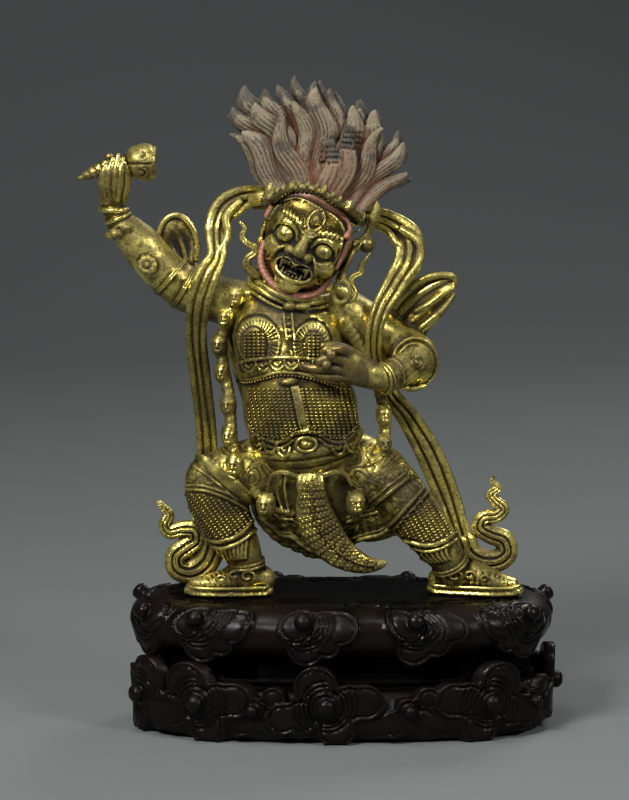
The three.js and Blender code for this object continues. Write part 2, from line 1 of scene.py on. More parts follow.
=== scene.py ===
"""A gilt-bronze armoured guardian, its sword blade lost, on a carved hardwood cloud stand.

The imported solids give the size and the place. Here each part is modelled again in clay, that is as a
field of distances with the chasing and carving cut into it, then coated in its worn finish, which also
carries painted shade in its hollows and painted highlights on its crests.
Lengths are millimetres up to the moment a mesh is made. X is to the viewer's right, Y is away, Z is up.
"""

import logging
import math
from dataclasses import dataclass, field
from enum import Enum
from typing import Callable, Optional, Sequence, Union

import bpy
import numpy as np
import openvdb
from mathutils import Matrix, Vector

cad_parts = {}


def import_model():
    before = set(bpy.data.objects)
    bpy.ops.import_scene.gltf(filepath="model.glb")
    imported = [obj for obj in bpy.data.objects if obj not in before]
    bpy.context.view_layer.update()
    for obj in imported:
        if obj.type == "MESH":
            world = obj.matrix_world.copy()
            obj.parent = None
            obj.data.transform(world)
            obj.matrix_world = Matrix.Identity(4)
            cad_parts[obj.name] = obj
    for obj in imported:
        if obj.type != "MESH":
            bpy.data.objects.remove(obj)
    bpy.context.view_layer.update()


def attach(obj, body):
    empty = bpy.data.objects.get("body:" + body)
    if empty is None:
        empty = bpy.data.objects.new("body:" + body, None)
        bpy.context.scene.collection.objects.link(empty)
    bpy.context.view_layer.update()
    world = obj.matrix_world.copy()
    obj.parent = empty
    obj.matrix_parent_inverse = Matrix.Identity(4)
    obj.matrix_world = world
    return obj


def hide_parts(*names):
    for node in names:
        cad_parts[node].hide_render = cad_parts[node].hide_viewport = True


MM = 0.001
OUT = (0.0, -1.0, 0.0)
UP = (0.0, 0.0, 1.0)
BACKWARD = np.array([0.0, 1.0, 0.0])
FIGURE = "begtse_figure"
STAND = "cloud_stand"

FAR = 9.0
FOLD_CELLS = 3
FOLD_REACH = 2.6

# A line over the surface: the steps it is laid in, and the miss and the leap at which it breaks off.
LINE_STEP = 1.5
LINE_MISS = 0.5
LINE_LEAP = 8.0

# How hollow a point lies, which the finishes paint darker: the mesh is smoothed a little, then much, and
# compared both times. The broad pass and the shelter add painted shade between the parts.
HOLLOW_AND_SHADE = "hollow"
FINE_PASSES = 4
BROAD_PASSES = 14
SHELTER_SHARE = 0.7

# Studs and beads are balls of so many sides and rings.
BALL_SIDES = 8
BALL_RINGS = 6

# The pitch of the mail, down and across.
MAIL_ROW = 1.2
MAIL_COLUMN = 1.72

Point = Sequence[float]
Rows = tuple[tuple[float, ...], ...]
Relief = Callable[[np.ndarray, np.ndarray, np.ndarray], np.ndarray]
Window = tuple[tuple[slice, ...], np.ndarray, np.ndarray, np.ndarray]
Value = Union[bpy.types.NodeSocket, float]

log = logging.getLogger("guardian")


class Slot(Enum):
    """The record's material slots."""

    BRONZE = "gilt_bronze"
    WOOD = "dark_hardwood"


class Coat(Enum):
    """The finishes on the object. The value is the number that a clay cell is marked with."""

    GILT = 0
    BROWN = 1
    HAIR = 2
    PINK = 3
    BLACK = 4
    SPECKLED = 5
    WOOD = 6
    SOOT = 7
    GROUND = 8
    # Painted shade: the darker, duller wood on the table's top and in the waist.
    SHADE = 9


def unit(vector: Point) -> np.ndarray:
    """Returns the vector at length one."""
    vector = np.asarray(vector, float)
    return vector / max(np.linalg.norm(vector), 1e-9)


def ridges(phase: np.ndarray) -> np.ndarray:
    """Returns 0 on rounded ridges and 1 in the sharp grooves that lie at whole numbers."""
    return 1.0 - np.abs(np.sin(np.pi * phase))


def soft_min(first: np.ndarray, second: np.ndarray, blend: float) -> np.ndarray:
    """Returns the lesser of two distances, with a fillet where they are near each other."""
    near = np.maximum(blend - np.abs(first - second), 0) / blend
    return np.minimum(first, second) - near * near * blend * 0.25


def groove(offset: np.ndarray, width: float) -> np.ndarray:
    """Returns 1 in the middle of a line of that width, falling softly to 0 outside it."""
    return np.exp(-((offset / width) ** 2) * 2.0)


def inside(outline: Sequence[Point], spots: np.ndarray) -> np.ndarray:
    """Returns which of the spots lie inside a closed outline."""
    corner = np.asarray(outline, float)
    following = np.roll(corner, -1, axis=0)
    x, z = spots[:, :1], spots[:, 1:]
    run, rise = (following - corner).T
    crossing = corner[:, 0] + (z - corner[:, 1]) / np.where(rise == 0, 1, rise) * run
    return (((corner[:, 1] > z) != (following[:, 1] > z)) & (x < crossing)).sum(1) % 2 == 1


def swirls(x: np.ndarray, z: np.ndarray, pitch: float = 1.6) -> np.ndarray:
    """Returns 1 along fine chased lines that curl like clouds, about a pitch apart, and 0 between them."""
    along, up = x / pitch, z / pitch
    waves = (np.sin(0.55 * along + 1.1 * np.sin(0.42 * up))
             + np.sin(0.6 * up + 1.2 * np.sin(0.47 * along + 1.0)))
    return ridges(waves * 1.15) ** 2


def between_cells(values: np.ndarray, place: np.ndarray) -> np.ndarray:
    """Returns the values at places counted in cells, interpolated between the eight cells round each."""
    place = np.clip(place, 0, np.array(values.shape) - 1.001)
    first = place.astype(int)
    share = place - first
    total = np.zeros(len(place))
    for corner in range(8):
        bits = np.array([corner & 1, corner >> 1 & 1, corner >> 2 & 1])
        weight = np.prod(np.where(bits, share, 1 - share), axis=1)
        total += weight * values[tuple((first + bits).T)]
    return total


def arc(middle: Point, wide: float, tall: float, turns: Sequence[float]) -> list:
    """Returns the points (right, up) of an oval round a middle, at turns in radians."""
    return [(middle[0] + wide * math.cos(t), middle[1] + tall * math.sin(t)) for t in turns]


def strands(count: int, depth: float) -> Relief:
    """Makes the relief of a bundle of parallel strands.

    Args:
        count: how many strands lie side by side.
        depth: how deep the grooves between them are, in mm.

    Returns:
        The relief of one stroke, from its length s and its across and depth shares u and v.
    """
    return lambda s, u, v: depth * ridges((np.clip(u, -1, 1) + 1) * 0.5 * count) ** 1.5


def twisted(pitch: float, depth: float, sharpness: float = 1.0) -> Relief:
    """Makes the relief of a twisted cord.

    Args:
        pitch: the mm from one groove to the next along the cord.
        depth: how deep the grooves are, in mm.
        sharpness: the greater, the narrower the grooves.

    Returns:
        The relief of one stroke, from its length s and its across and depth shares u and v.
    """
    return lambda s, u, v: depth * ridges(s / pitch + np.arctan2(v, u) / math.tau) ** sharpness


@dataclass(frozen=True)
class Sight:
    """Where the viewer stands, so that a mark seen at (x, z) on the middle plane finds its surface."""

    target: tuple[float, float, float] = (-3.24, 0.0, 118.0)
    elevation: float = 9.0
    distance: float = 1400.0
    lens: float = 175.0

    def eye(self) -> np.ndarray:
        """Returns the place of the eye."""
        lift = math.radians(self.elevation)
        return np.array(self.target) + self.distance * np.array([0.0, -math.cos(lift), math.sin(lift)])


SIGHT = Sight()


def smooth_path(stations: Sequence[Point], step: float) -> tuple[np.ndarray, np.ndarray]:
    """Runs a smooth curve through stations.

    Args:
        stations: rows that start with x, y, z; further columns are carried along.
        step: the spacing of the points wanted, in mm.

    Returns:
        The rows of the finer curve, and the length along it at each.
    """
    rows = np.array(stations, float)
    ends = np.vstack([2 * rows[0] - rows[1], rows, 2 * rows[-1] - rows[-2]])
    out = []
    for i in range(1, len(ends) - 2):
        before, start, end, after = ends[i - 1], ends[i], ends[i + 1], ends[i + 2]
        count = max(1, int(np.ceil(np.linalg.norm(end[:3] - start[:3]) / step)))
        t = (np.arange(count) / count)[:, None]
        out.append(0.5 * (2 * start + (end - before) * t
                          + (2 * before - 5 * start + 4 * end - after) * t ** 2
                          + (3 * start - before - 3 * end + after) * t ** 3))
    out.append(rows[-1:])
    path = np.vstack(out)
    length = np.concatenate([[0.0], np.cumsum(np.linalg.norm(np.diff(path[:, :3], axis=0), axis=1))])
    return path, length


class Clay:
    """A block of modelling clay, held as the distance of every cell to the surface."""

    def __init__(self, low: Point, high: Point, cell: float, coat: Coat = Coat.GILT) -> None:
        """Takes the block's corners and the side of a cell, in mm."""
        self.cell = cell * 1.0
        self.low = np.asarray(low, np.float32)
        self.count = np.ceil((np.asarray(high, float) - self.low) / self.cell).astype(int) + 1
        self.distance = np.full(self.count, FAR, np.float32)
        self.mark = np.full(self.count, coat.value, np.uint8)
        self.coat = coat

    def window(self, low: Point, high: Point) -> Window:
        """Returns the slices of the cells in a box, and their x, y and z as broadcastable arrays."""
        first = np.floor((np.asarray(low, float) - self.low) / self.cell).astype(int)
        last = np.ceil((np.asarray(high, float) - self.low) / self.cell).astype(int) + 1
        first = np.clip(first, 0, self.count)
        last = np.maximum(np.clip(last, 0, self.count), first)
        cells = tuple(slice(a, b) for a, b in zip(first, last))
        x, y, z = (self.low[i] + self.cell * np.arange(first[i], last[i], dtype=np.float32) for i in range(3))
        return cells, x[:, None, None], y[None, :, None], z[None, None, :]

    def whole(self) -> Window:
        """Returns the window of every cell."""
        return self.window(self.low, self.low + self.count * self.cell)

    def lay(self, cells: tuple[slice, ...], shape: np.ndarray, blend: float,
            coat: Optional[Coat] = None, cut: bool = False) -> None:
        """Joins a shape on, or cuts it out, with a fillet of about the blend."""
        old = self.distance[cells]
        mark = self.mark[cells]
        value = (coat or self.coat).value
        if cut:
            near = np.maximum(blend - np.abs(old + shape), 0) / max(blend, 1e-6)
            self.distance[cells] = np.maximum(old, -shape) + near * near * blend * 0.25
            if coat:
                mark[shape < self.cell] = value
        else:
            near = np.maximum(blend - np.abs(old - shape), 0) / max(blend, 1e-6)
            mark[shape <= old] = value
            self.distance[cells] = np.minimum(old, shape) - near * near * blend * 0.25

    def ball(self, at: Point, half: Point | float, turn: Optional[np.ndarray] = None, blend: float = 0.5,
             coat: Optional[Coat] = None, cut: bool = False) -> None:
        """Adds or cuts an ellipsoid with those half sizes, turned by the 3 by 3 matrix."""
        half = np.broadcast_to(np.asarray(half, float), 3)
        reach = half.max() + blend + 2 * self.cell
        at = np.asarray(at, float)
        cells, x, y, z = self.window(at - reach, at + reach)
        x, y, z = x - at[0], y - at[1], z - at[2]
        if turn is not None:
            x, y, z = (turn[0][i] * x + turn[1][i] * y + turn[2][i] * z for i in range(3))
        share = np.sqrt((x / half[0]) ** 2 + (y / half[1]) ** 2 + (z / half[2]) ** 2)
        slope = np.sqrt((x / half[0] ** 2) ** 2 + (y / half[1] ** 2) ** 2 + (z / half[2] ** 2) ** 2)
        self.lay(cells, share * (share - 1) / np.maximum(slope, 1e-3), blend, coat, cut)

    def stroke(self, stations: Sequence[Point], facing: Point = OUT, blend: float = 0.5, cap: float = 1.0,
               relief: Optional[Relief] = None, proud: float = 0.0, flat: bool = False,
               coat: Optional[Coat] = None, cut: bool = False) -> None:
        """Adds or cuts a limb that runs smoothly through its stations.

        Args:
            stations: rows of x, y, z, half width and, where it differs, half depth.
            facing: the direction in which the depth is measured.
            blend: the fillet to what is there already.
            cap: how far the round ends stand out, as a share of the thickness.
            relief: mm to sink the surface by, from the length s and the shares u across and v in depth.
            proud: the most by which the relief raises the surface.
            flat: makes the section a rounded slab instead of an ellipse.
            coat: the finish, where it isn't the block's own.
            cut: cuts the limb out instead.
        """
        rows = [list(r[:4]) + [r[4] if len(r) > 4 else r[3]] for r in stations]
        step = max(1.2 * self.cell, 0.35 * min(max(r[3], r[4]) for r in rows), 0.9)
        path, length = smooth_path(rows, step)
        path[:, 3:] = np.maximum(path[:, 3:], 0.25)
        tangent = np.gradient(path[:, :3], axis=0)
        tangent /= np.maximum(np.linalg.norm(tangent, axis=1, keepdims=True), 1e-9)
        side = np.cross(tangent, np.asarray(facing, float))
        for i in range(len(side)):
            side[i] = unit(side[i] + (0.12 * side[i - 1] if i else 0))
        deep = np.cross(side, tangent)
        margin = blend + proud + 2 * self.cell
        reach = path[:, 3:].max() + margin
        cells, *_ = self.window(path[:, :3].min(0) - reach, path[:, :3].max(0) + reach)
        shape = np.full([c.stop - c.start for c in cells], FAR, np.float32)
        track = [np.zeros_like(shape) for _ in range(3)] if relief else []
        base = [c.start for c in cells]
        for i in range(len(path) - 1):
            a, b = path[i], path[i + 1]
            run = b[:3] - a[:3]
            square = max(float(run @ run), 1e-9)
            reach = max(a[3:].max(), b[3:].max()) + margin
            part, x, y, z = self.window(np.minimum(a[:3], b[:3]) - reach, np.maximum(a[:3], b[:3]) + reach)
            local = tuple(slice(c.start - o, c.stop - o) for c, o in zip(part, base))
            here = shape[local]
            if not here.size:
                continue
            x, y, z = x - a[0], y - a[1], z - a[2]
            t = np.clip((x * run[0] + y * run[1] + z * run[2]) / square, 0, 1)
            x, y, z = x - t * run[0], y - t * run[1], z - t * run[2]
            turn, lean = side[i + 1] - side[i], deep[i + 1] - deep[i]
            across = (x * side[i][0] + y * side[i][1] + z * side[i][2]
                      + t * (x * turn[0] + y * turn[1] + z * turn[2]))
            inward = (x * deep[i][0] + y * deep[i][1] + z * deep[i][2]
                      + t * (x * lean[0] + y * lean[1] + z * lean[2]))
            beyond = np.maximum(x * x + y * y + z * z - across ** 2 - inward ** 2, 0)
            wide, thick = a[3] + t * (b[3] - a[3]), a[4] + t * (b[4] - a[4])
            end = np.minimum(wide, thick) * cap
            u, v, w2 = across / wide, inward / thick, beyond / end ** 2
            if flat:
                share = np.sqrt(np.sqrt(u ** 4 + v ** 4 + w2 ** 2))
                slope = np.sqrt((u ** 3 / wide) ** 2 + (v ** 3 / thick) ** 2 + (w2 ** 1.5 / end) ** 2)
                slope = slope / np.maximum(share, 0.05) ** 3
                found = (share - 1) / np.maximum(slope, 0.5 / np.maximum(wide, thick))
            else:
                share = np.sqrt(u ** 2 + v ** 2 + w2)
                slope = np.sqrt((u / wide) ** 2 + (v / thick) ** 2 + w2 / end ** 2)
                found = share * (share - 1) / np.maximum(slope, 1e-3)
            closer = found < here
            np.copyto(here, found, where=closer)
            if relief:
                for kept, value in zip(track, (length[i] + t * (length[i + 1] - length[i]), u, v)):
                    np.copyto(kept[local], value, where=closer)
        if relief:
            shape = np.where(shape < FAR, shape + relief(*track), shape).astype(np.float32)
        self.lay(cells, shape, blend, coat, cut)

    def press(self, low: Point, high: Point, depth: Callable) -> None:
        """Sinks the surface inside a box by depth(x, y, z) mm."""
        cells, *place = self.window(low, high)
        self.distance[cells] += depth(*place)

    def stain(self, window: Window, coat: Coat, where: np.ndarray | bool = True) -> None:
        """Marks the cells of a window, or those of them where a condition holds, with another coat."""
        marks = self.mark[window[0]]
        marks[np.broadcast_to(where, marks.shape)] = coat.value

    def shelter(self, points: np.ndarray) -> np.ndarray:
        """Returns how enclosed each point lies: 0 on a flat stretch, towards 1 deep in a fold. The finishes
        paint the enclosed places darker, as painted shade.
        """
        block = FOLD_CELLS * self.cell
        filled = np.clip(0.5 - self.distance[::FOLD_CELLS, ::FOLD_CELLS, ::FOLD_CELLS] / block, 0, 1)
        reach = max(1, round(FOLD_REACH / block))
        for axis in (0, 1, 2, 0, 1, 2):
            size = filled.shape[axis]
            padded = np.concatenate([
                np.repeat(filled.take([0], axis), reach + 1, axis), filled,
                np.repeat(filled.take([-1], axis), reach, axis)], axis)
            total = np.cumsum(padded, axis, dtype=np.float32)
            ahead = total.take(np.arange(2 * reach + 1, 2 * reach + 1 + size), axis)
            filled = (ahead - total.take(np.arange(size), axis)) / (2 * reach + 1)
        near = between_cells(filled, (points - self.low) / block)
        return np.clip((near - 0.5) * 2, -0.5, 1)

    def chase(self, low: Point, high: Point, depth: float = 0.26, pitch: float = 1.6) -> None:
        """Engraves curling lines into the front of what lies in a box, fading out at its sides."""
        def lines(x: np.ndarray, y: np.ndarray, z: np.ndarray) -> np.ndarray:
            """Returns the depth of the lines at a place."""
            margin = np.minimum(np.minimum(x - low[0], high[0] - x), np.minimum(z - low[2], high[2] - z))
            return depth * swirls(x, z, pitch) * np.clip(margin / 2.5, 0, 1) * np.ones_like(y)

        self.press(low, high, lines)

    def slice_below(self, level: float) -> None:
        """Cuts everything under a level off flat."""
        cells, _, _, z = self.whole()
        self.distance[cells] = np.maximum(self.distance[cells], level - z)

    def sample(self, points: np.ndarray) -> np.ndarray:
        """Returns the distance at each point, interpolated between the cells."""
        return between_cells(self.distance, (points - self.low) / self.cell)

    def normals(self, points: np.ndarray) -> np.ndarray:
        """Returns the outward direction of the surface near each point."""
        step = 1.2 * self.cell
        slope = np.stack(
            [self.sample(points + step * axis) - self.sample(points - step * axis) for axis in np.eye(3)],
            axis=1)
        return slope / np.maximum(np.linalg.norm(slope, axis=1, keepdims=True), 1e-6)

    def land(self, points: np.ndarray, direction: np.ndarray, lift: float = 0.0) -> np.ndarray:
        """Moves points along a direction until they are that far from the surface."""
        points = np.array(points, float)
        for _ in range(150):
            gap = self.sample(points) - lift
            points += direction * np.clip(gap * 0.8, -0.2, 0.8)[:, None]
        return points

    def seen(self, spots: Sequence[Point], lift: float = 0.0) -> np.ndarray:
        """Finds the surface points that the viewer sees at the spots (x, z) on the middle plane."""
        spots = np.array([[s[0], 0.0, s[1]] for s in spots], float)
        direction = spots - SIGHT.eye()
        direction /= np.linalg.norm(direction, axis=1, keepdims=True)
        start = spots + direction * ((self.low[1] + self.cell) / direction[:, 1])[:, None]
        return self.land(start, direction, lift)

    def line(self, spots: Sequence[Point], radius: float, lift: float = 0.3, depth: float = 0.0) -> None:
        """Lays a cord over the surface as the viewer sees it, leaving out stretches with no surface.

        Args:
            spots: the places (x, z) on the middle plane that it seems to pass.
            radius: its half width, and its half depth where no depth is given.
            lift: how far its middle stands off the surface, as a share of the radius.
            depth: its half depth.
        """
        path, _ = smooth_path([(s[0], 0.0, s[1]) for s in spots], LINE_STEP)
        points = self.seen(path[:, [0, 2]], lift * radius)
        missed = np.abs(self.sample(points) - lift * radius) > LINE_MISS
        jump = np.linalg.norm(np.diff(points, axis=0), axis=1) > LINE_LEAP
        for run in np.split(points, np.flatnonzero(jump | missed[1:] | missed[:-1]) + 1):
            if len(run) > 1:
                self.stroke([(*p, radius, depth or radius) for p in run], blend=0.25)

    def piece(self, name: str, thrift: float = 0.2, replaces: str = FIGURE,
              slot: Slot = Slot.BRONZE) -> None:
        """Turns the clay into a finished piece.

        Args:
            name: the piece's name.
            thrift: how freely flat stretches are covered with larger faces.
            replaces: the solid that it stands for.
            slot: the material slot meant for its finish; not used.
        """
        limit = 3 * self.cell
        grid = openvdb.FloatGrid(limit)
        grid.copyFromArray(np.clip(self.distance, -limit, limit))
        points, triangles, quads = grid.convertToPolygons(0.0, thrift)
        points = points * self.cell + self.low
        points, triangles, quads = keep_body(points, triangles, quads)
        mesh = make_mesh(name, points, triangles, quads, self.shelter(points))
        under = read_rows(mesh.polygons, "center") / MM - read_rows(mesh.polygons, "normal") * 0.5 * self.cell
        index = np.clip(np.rint((under - self.low) / self.cell).astype(int), 0, self.count - 1)
        marks = self.mark[tuple(index.T)]
        used, slots = np.unique(marks, return_inverse=True)
        for value in used:
            mesh.materials.append(finish(Coat(int(value))))
        mesh.polygons.foreach_set("material_index", slots.astype(np.int32))
        settle(mesh, replaces)


def read_rows(items: bpy.types.bpy_prop_collection, field_name: str) -> np.ndarray:
    """Reads one vector of every item of a mesh, as rows of three."""
    rows = np.empty(len(items) * 3, np.float32)
    items.foreach_get(field_name, rows)
    return rows.reshape(-1, 3)


def edges_of(triangles: np.ndarray, quads: np.ndarray) -> np.ndarray:
    """Returns the pairs of corners along the faces' sides."""
    pairs = [faces[:, [i, (i + 1) % faces.shape[1]]] for faces in (triangles, quads)
             if len(faces) for i in range(faces.shape[1])]
    return np.vstack(pairs).astype(np.int64)


def keep_body(points: np.ndarray, triangles: np.ndarray, quads: np.ndarray) -> tuple:
    """Drops loose crumbs: every connected shell with under a fiftieth of the points."""
    pairs = edges_of(triangles, quads)
    label = np.arange(len(points))
    while True:
        new = label.copy()
        np.minimum.at(new, pairs[:, 0], label[pairs[:, 1]])
        np.minimum.at(new, pairs[:, 1], label[pairs[:, 0]])
        new = new[new]
        if np.array_equal(new, label):
            break
        label = new
    size = np.bincount(label, minlength=len(points))
    keep = size[label] > len(points) / 50
    number = np.cumsum(keep) - 1
    triangles = number[triangles[keep[triangles].all(1)]] if len(triangles) else triangles
    quads = number[quads[keep[quads].all(1)]] if len(quads) else quads
    return points[keep], triangles, quads


def make_mesh(name: str, points: np.ndarray, triangles: np.ndarray, quads: np.ndarray,
              shelter: np.ndarray) -> bpy.types.Mesh:
    """Makes a smooth-shaded mesh in metres, with how hollow each point lies as an attribute."""
    mesh = bpy.data.meshes.new(name)
    corners = np.concatenate([triangles.ravel(), quads.ravel()]).astype(np.int32)
    sizes = np.concatenate([np.full(len(triangles), 3), np.full(len(quads), 4)])
    starts = np.concatenate([[0], np.cumsum(sizes)[:-1]]).astype(np.int32)
    mesh.vertices.add(len(points))
    mesh.vertices.foreach_set("co", (points * MM).astype(np.float32).ravel())
    mesh.loops.add(len(corners))
    mesh.loops.foreach_set("vertex_index", corners)
    mesh.polygons.add(len(sizes))
    mesh.polygons.foreach_set("loop_start", starts)
    mesh.update(calc_edges=True)
    mesh.validate()
    mesh.shade_smooth()
    store_hollow_and_shade(mesh, points, edges_of(triangles, quads), shelter)
    return mesh


def store_hollow_and_shade(mesh: bpy.types.Mesh, points: np.ndarray, pairs: np.ndarray,
                 shelter: np.ndarray) -> None:
    """Stores by how many mm each point lies under the smoothed surface, more where it is sheltered; the
    finishes paint this darker, partly as the recesses' own colour and partly as painted shade.
    """
    normal = read_rows(mesh.vertices, "normal")
    count = np.bincount(pairs.ravel(), minlength=len(points)).clip(1)
    smooth = points.astype(float)
    total = SHELTER_SHARE * shelter
    for turn in range(1, BROAD_PASSES + 1):
        pulled = np.stack([np.bincount(pairs[:, 0], smooth[pairs[:, 1], i], len(points))
                           + np.bincount(pairs[:, 1], smooth[pairs[:, 0], i], len(points))
                           for i in range(3)], axis=1)
        smooth = pulled / count[:, None]
        if turn in (FINE_PASSES, BROAD_PASSES):
            total += ((smooth - points) * normal).sum(1)
    layer = mesh.attributes.new(HOLLOW_AND_SHADE, "FLOAT", "POINT")
    layer.data.foreach_set("value", total.astype(np.float32))


def settle(mesh: bpy.types.Mesh, replaces: str = FIGURE) -> None:
    """Puts a finished mesh in the scene as a piece of the object, and reports it."""
    piece = bpy.data.objects.new(mesh.name, mesh)
    bpy.context.scene.collection.objects.link(piece)
    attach(piece, "root")
    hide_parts(replaces)
    faces = sum(len(p.vertices) - 2 for p in mesh.polygons)
    log.info("%s: %d triangles", mesh.name, faces)


class Nodes:
    """Adds nodes to a tree, so that a finish reads as a list of steps."""

    def __init__(self, tree: bpy.types.NodeTree) -> None:
        """Takes the tree to work in."""
        self.tree = tree

    def add(self, kind: str, values: Optional[dict] = None, **settings) -> bpy.types.Node:
        """Adds a node.

        Args:
            kind: the node's type name.
            values: plain values or other nodes' outputs, by the input's identifier or name.
            settings: the node's own properties.

        Returns:
            The new node.
        """
        node = self.tree.nodes.new(kind)
        for key, value in settings.items():
            setattr(node, key, value)
        for key, value in (values or {}).items():
            socket = next((s for s in node.inputs if s.identifier == key), None) or node.inputs[key]
            if isinstance(value, bpy.types.NodeSocket):
                self.tree.links.new(value, socket)
            else:
                socket.default_value = value
        return node

    def math(self, operation: str, first: Value, second: Value = 0.0,
             clamp: bool = False) -> bpy.types.NodeSocket:
        """Returns the result of one sum on two values."""
        return self.add("ShaderNodeMath", {"Value": first, "Value_001": second},
                        operation=operation, use_clamp=clamp).outputs[0]

    def ramp(self, value: Value, start: float, end: float) -> bpy.types.NodeSocket:
        """Returns 0 before the start and 1 after the end, with a soft step between."""
        return self.add("ShaderNodeMapRange", {"Value": value, "From Min": start, "From Max": end},
                        interpolation_type="SMOOTHSTEP").outputs["Result"]

    def mix(self, share: Value, first: Value, second: Value) -> bpy.types.NodeSocket:
        """Returns a colour between two."""
        return self.add("ShaderNodeMix", {"Factor_Float": share, "A_Color": first, "B_Color": second},
                        data_type="RGBA").outputs[2]

    def noise(self, place: Value, scale: Value, detail: float) -> bpy.types.NodeSocket:
        """Returns a cloudy value around one half."""
        return self.add("ShaderNodeTexNoise", {"Vector": place, "Scale": scale, "Detail": detail}).outputs[0]


def paint(red: int, green: int, blue: int) -> tuple[float, float, float, float]:
    """Turns a colour of 0 to 255 as the eye reads it into the linear one that a shader takes."""
    linear = [c / 255 / 12.92 if c <= 10 else ((c / 255 + 0.055) / 1.055) ** 2.4 for c in (red, green, blue)]
    return (*linear, 1.0)


def group_of(name: str, inputs: Sequence[tuple], outputs: Sequence[tuple]) -> tuple:
    """Makes an empty shader group.

    Args:
        name: the group's name.
        inputs: pairs of a name and a socket type.
        outputs: the same for the results.

    Returns:
        The group's nodes, its input node and its output node.
    """
    tree = bpy.data.node_groups.new(name, "ShaderNodeTree")
    for direction, sockets in (("INPUT", inputs), ("OUTPUT", outputs)):
        for label, kind in sockets:
            tree.interface.new_socket(label, in_out=direction, socket_type=f"NodeSocket{kind}")
    nodes = Nodes(tree)
    return nodes, nodes.add("NodeGroupInput"), nodes.add("NodeGroupOutput")


def painted_light_and_age_group() -> bpy.types.NodeTree:
    """Builds the shared group of an old, mottled surface whose crests are lighter, being worn and carrying a
    painted highlight, and whose hollows are darker, holding the material's own recess colour and painted
    shade.
    """
    name = "Aged surface"
    if name in bpy.data.node_groups:
        return bpy.data.node_groups[name]
    nodes, start, end = group_of(
        name,
        [("Position", "Vector"), ("Hollow", "Float"), ("High", "Color"), ("Middle", "Color"),
         ("Low", "Color"), ("Blotch", "Color"), ("Blotch Share", "Float"), ("Mottle", "Float"),
         ("Reach", "Float"), ("Smooth", "Float"), ("Dull", "Float"), ("Metal", "Float"), ("Grain", "Float")],
        [("Color", "Color"), ("Roughness", "Float"), ("Height", "Float"), ("Metallic", "Float")])
    given = start.outputs
    fine = nodes.noise(given["Position"], nodes.math("MULTIPLY", given["Mottle"], 7.0), 4.0)
    broad = nodes.noise(given["Position"], given["Mottle"], 5.0)
    jitter = nodes.math("MULTIPLY", nodes.math("SUBTRACT", fine, 0.5), 0.9)
    depth = nodes.math("ADD", nodes.math("DIVIDE", given["Hollow"], given["Reach"]), jitter)
    # Painted light: recesses darken towards the Low colour, partly the material's own recess colour and
    # partly painted shade; crests lighten towards the High colour, worn edges with a painted highlight.
    recess = nodes.ramp(depth, 0.0, 1.0)
    crest = nodes.ramp(nodes.math("MULTIPLY", depth, -1.0), 0.0, 0.9)
    edge = nodes.math("SUBTRACT", 1.0, given["Blotch Share"])
    spread = nodes.math("MULTIPLY", nodes.math("SUBTRACT", broad, edge), 6.0)
    blotch = nodes.math("MULTIPLY", nodes.ramp(spread, -0.5, 0.5), 0.75)
    speck = nodes.noise(given["Position"], nodes.math("MULTIPLY", given["Mottle"], 15.0), 2.0)
    patchy = nodes.math("MULTIPLY", nodes.math("SUBTRACT", broad, 0.5), 4.0)
    dots = nodes.math("ADD", nodes.math("MULTIPLY", nodes.math("SUBTRACT", speck, 0.56), 9.0), patchy)
    grain = nodes.math("MULTIPLY", nodes.ramp(dots, -0.3, 0.8), given["Grain"])
    colour = nodes.mix(crest, given["Middle"], given["High"])
    colour = nodes.mix(blotch, colour, given["Blotch"])
    colour = nodes.mix(grain, colour, given["Blotch"])
    colour = nodes.mix(recess, colour, given["Low"])
    dull = nodes.math("MAXIMUM", recess, blotch)
    gap = nodes.math("SUBTRACT", given["Dull"], given["Smooth"])
    rough = nodes.math("ADD", given["Smooth"], nodes.math("MULTIPLY", gap, dull))
    rough = nodes.math("ADD", rough, nodes.math("MULTIPLY", jitter, 0.12), clamp=True)
    bare = nodes.math("SUBTRACT", 1.0, nodes.math("MULTIPLY", dull, 0.55))
    metal = nodes.math("MULTIPLY", given["Metal"], bare)
    for label, socket in (("Color", colour), ("Roughness", rough), ("Height", fine), ("Metallic", metal)):
        nodes.tree.links.new(socket, end.inputs[label])
    return nodes.tree


def wash_group() -> bpy.types.NodeTree:
    """Builds the shared group of a colour laid over one region, thinning out with distance."""
    name = "Regional wash"
    if name in bpy.data.node_groups:
        return bpy.data.node_groups[name]
    nodes, start, end = group_of(
        name,
        [("Position", "Vector"), ("Centre", "Vector"), ("Near", "Float"), ("Far", "Float"),
         ("Strength", "Float"), ("Under", "Color"), ("Wash", "Color"), ("Mottle", "Float")],
        [("Color", "Color")])
    given = start.outputs
    away = nodes.add(
        "ShaderNodeVectorMath", {"Vector": given["Position"], "Vector_001": given["Centre"]},
        operation="DISTANCE")
    span = nodes.math("SUBTRACT", given["Far"], given["Near"])
    nearness = nodes.math("DIVIDE", nodes.math("SUBTRACT", given["Far"], away.outputs["Value"]), span)
    cloud = nodes.math("SUBTRACT", nodes.noise(given["Position"], given["Mottle"], 4.0), 0.5)
    share = nodes.ramp(nodes.math("ADD", nearness, nodes.math("MULTIPLY", cloud, 1.6)), 0.0, 1.0)
    colour = nodes.mix(nodes.math("MULTIPLY", share, given["Strength"]), given["Under"], given["Wash"])
    nodes.tree.links.new(colour, end.inputs["Color"])
    return nodes.tree


@dataclass(frozen=True)
class Wash:
    """A colour over one region: its middle in mm, full inside near, gone past far."""

    centre: tuple[float, float, float]
    near: float
    far: float
    colour: tuple[int, int, int]
    strength: float = 0.8


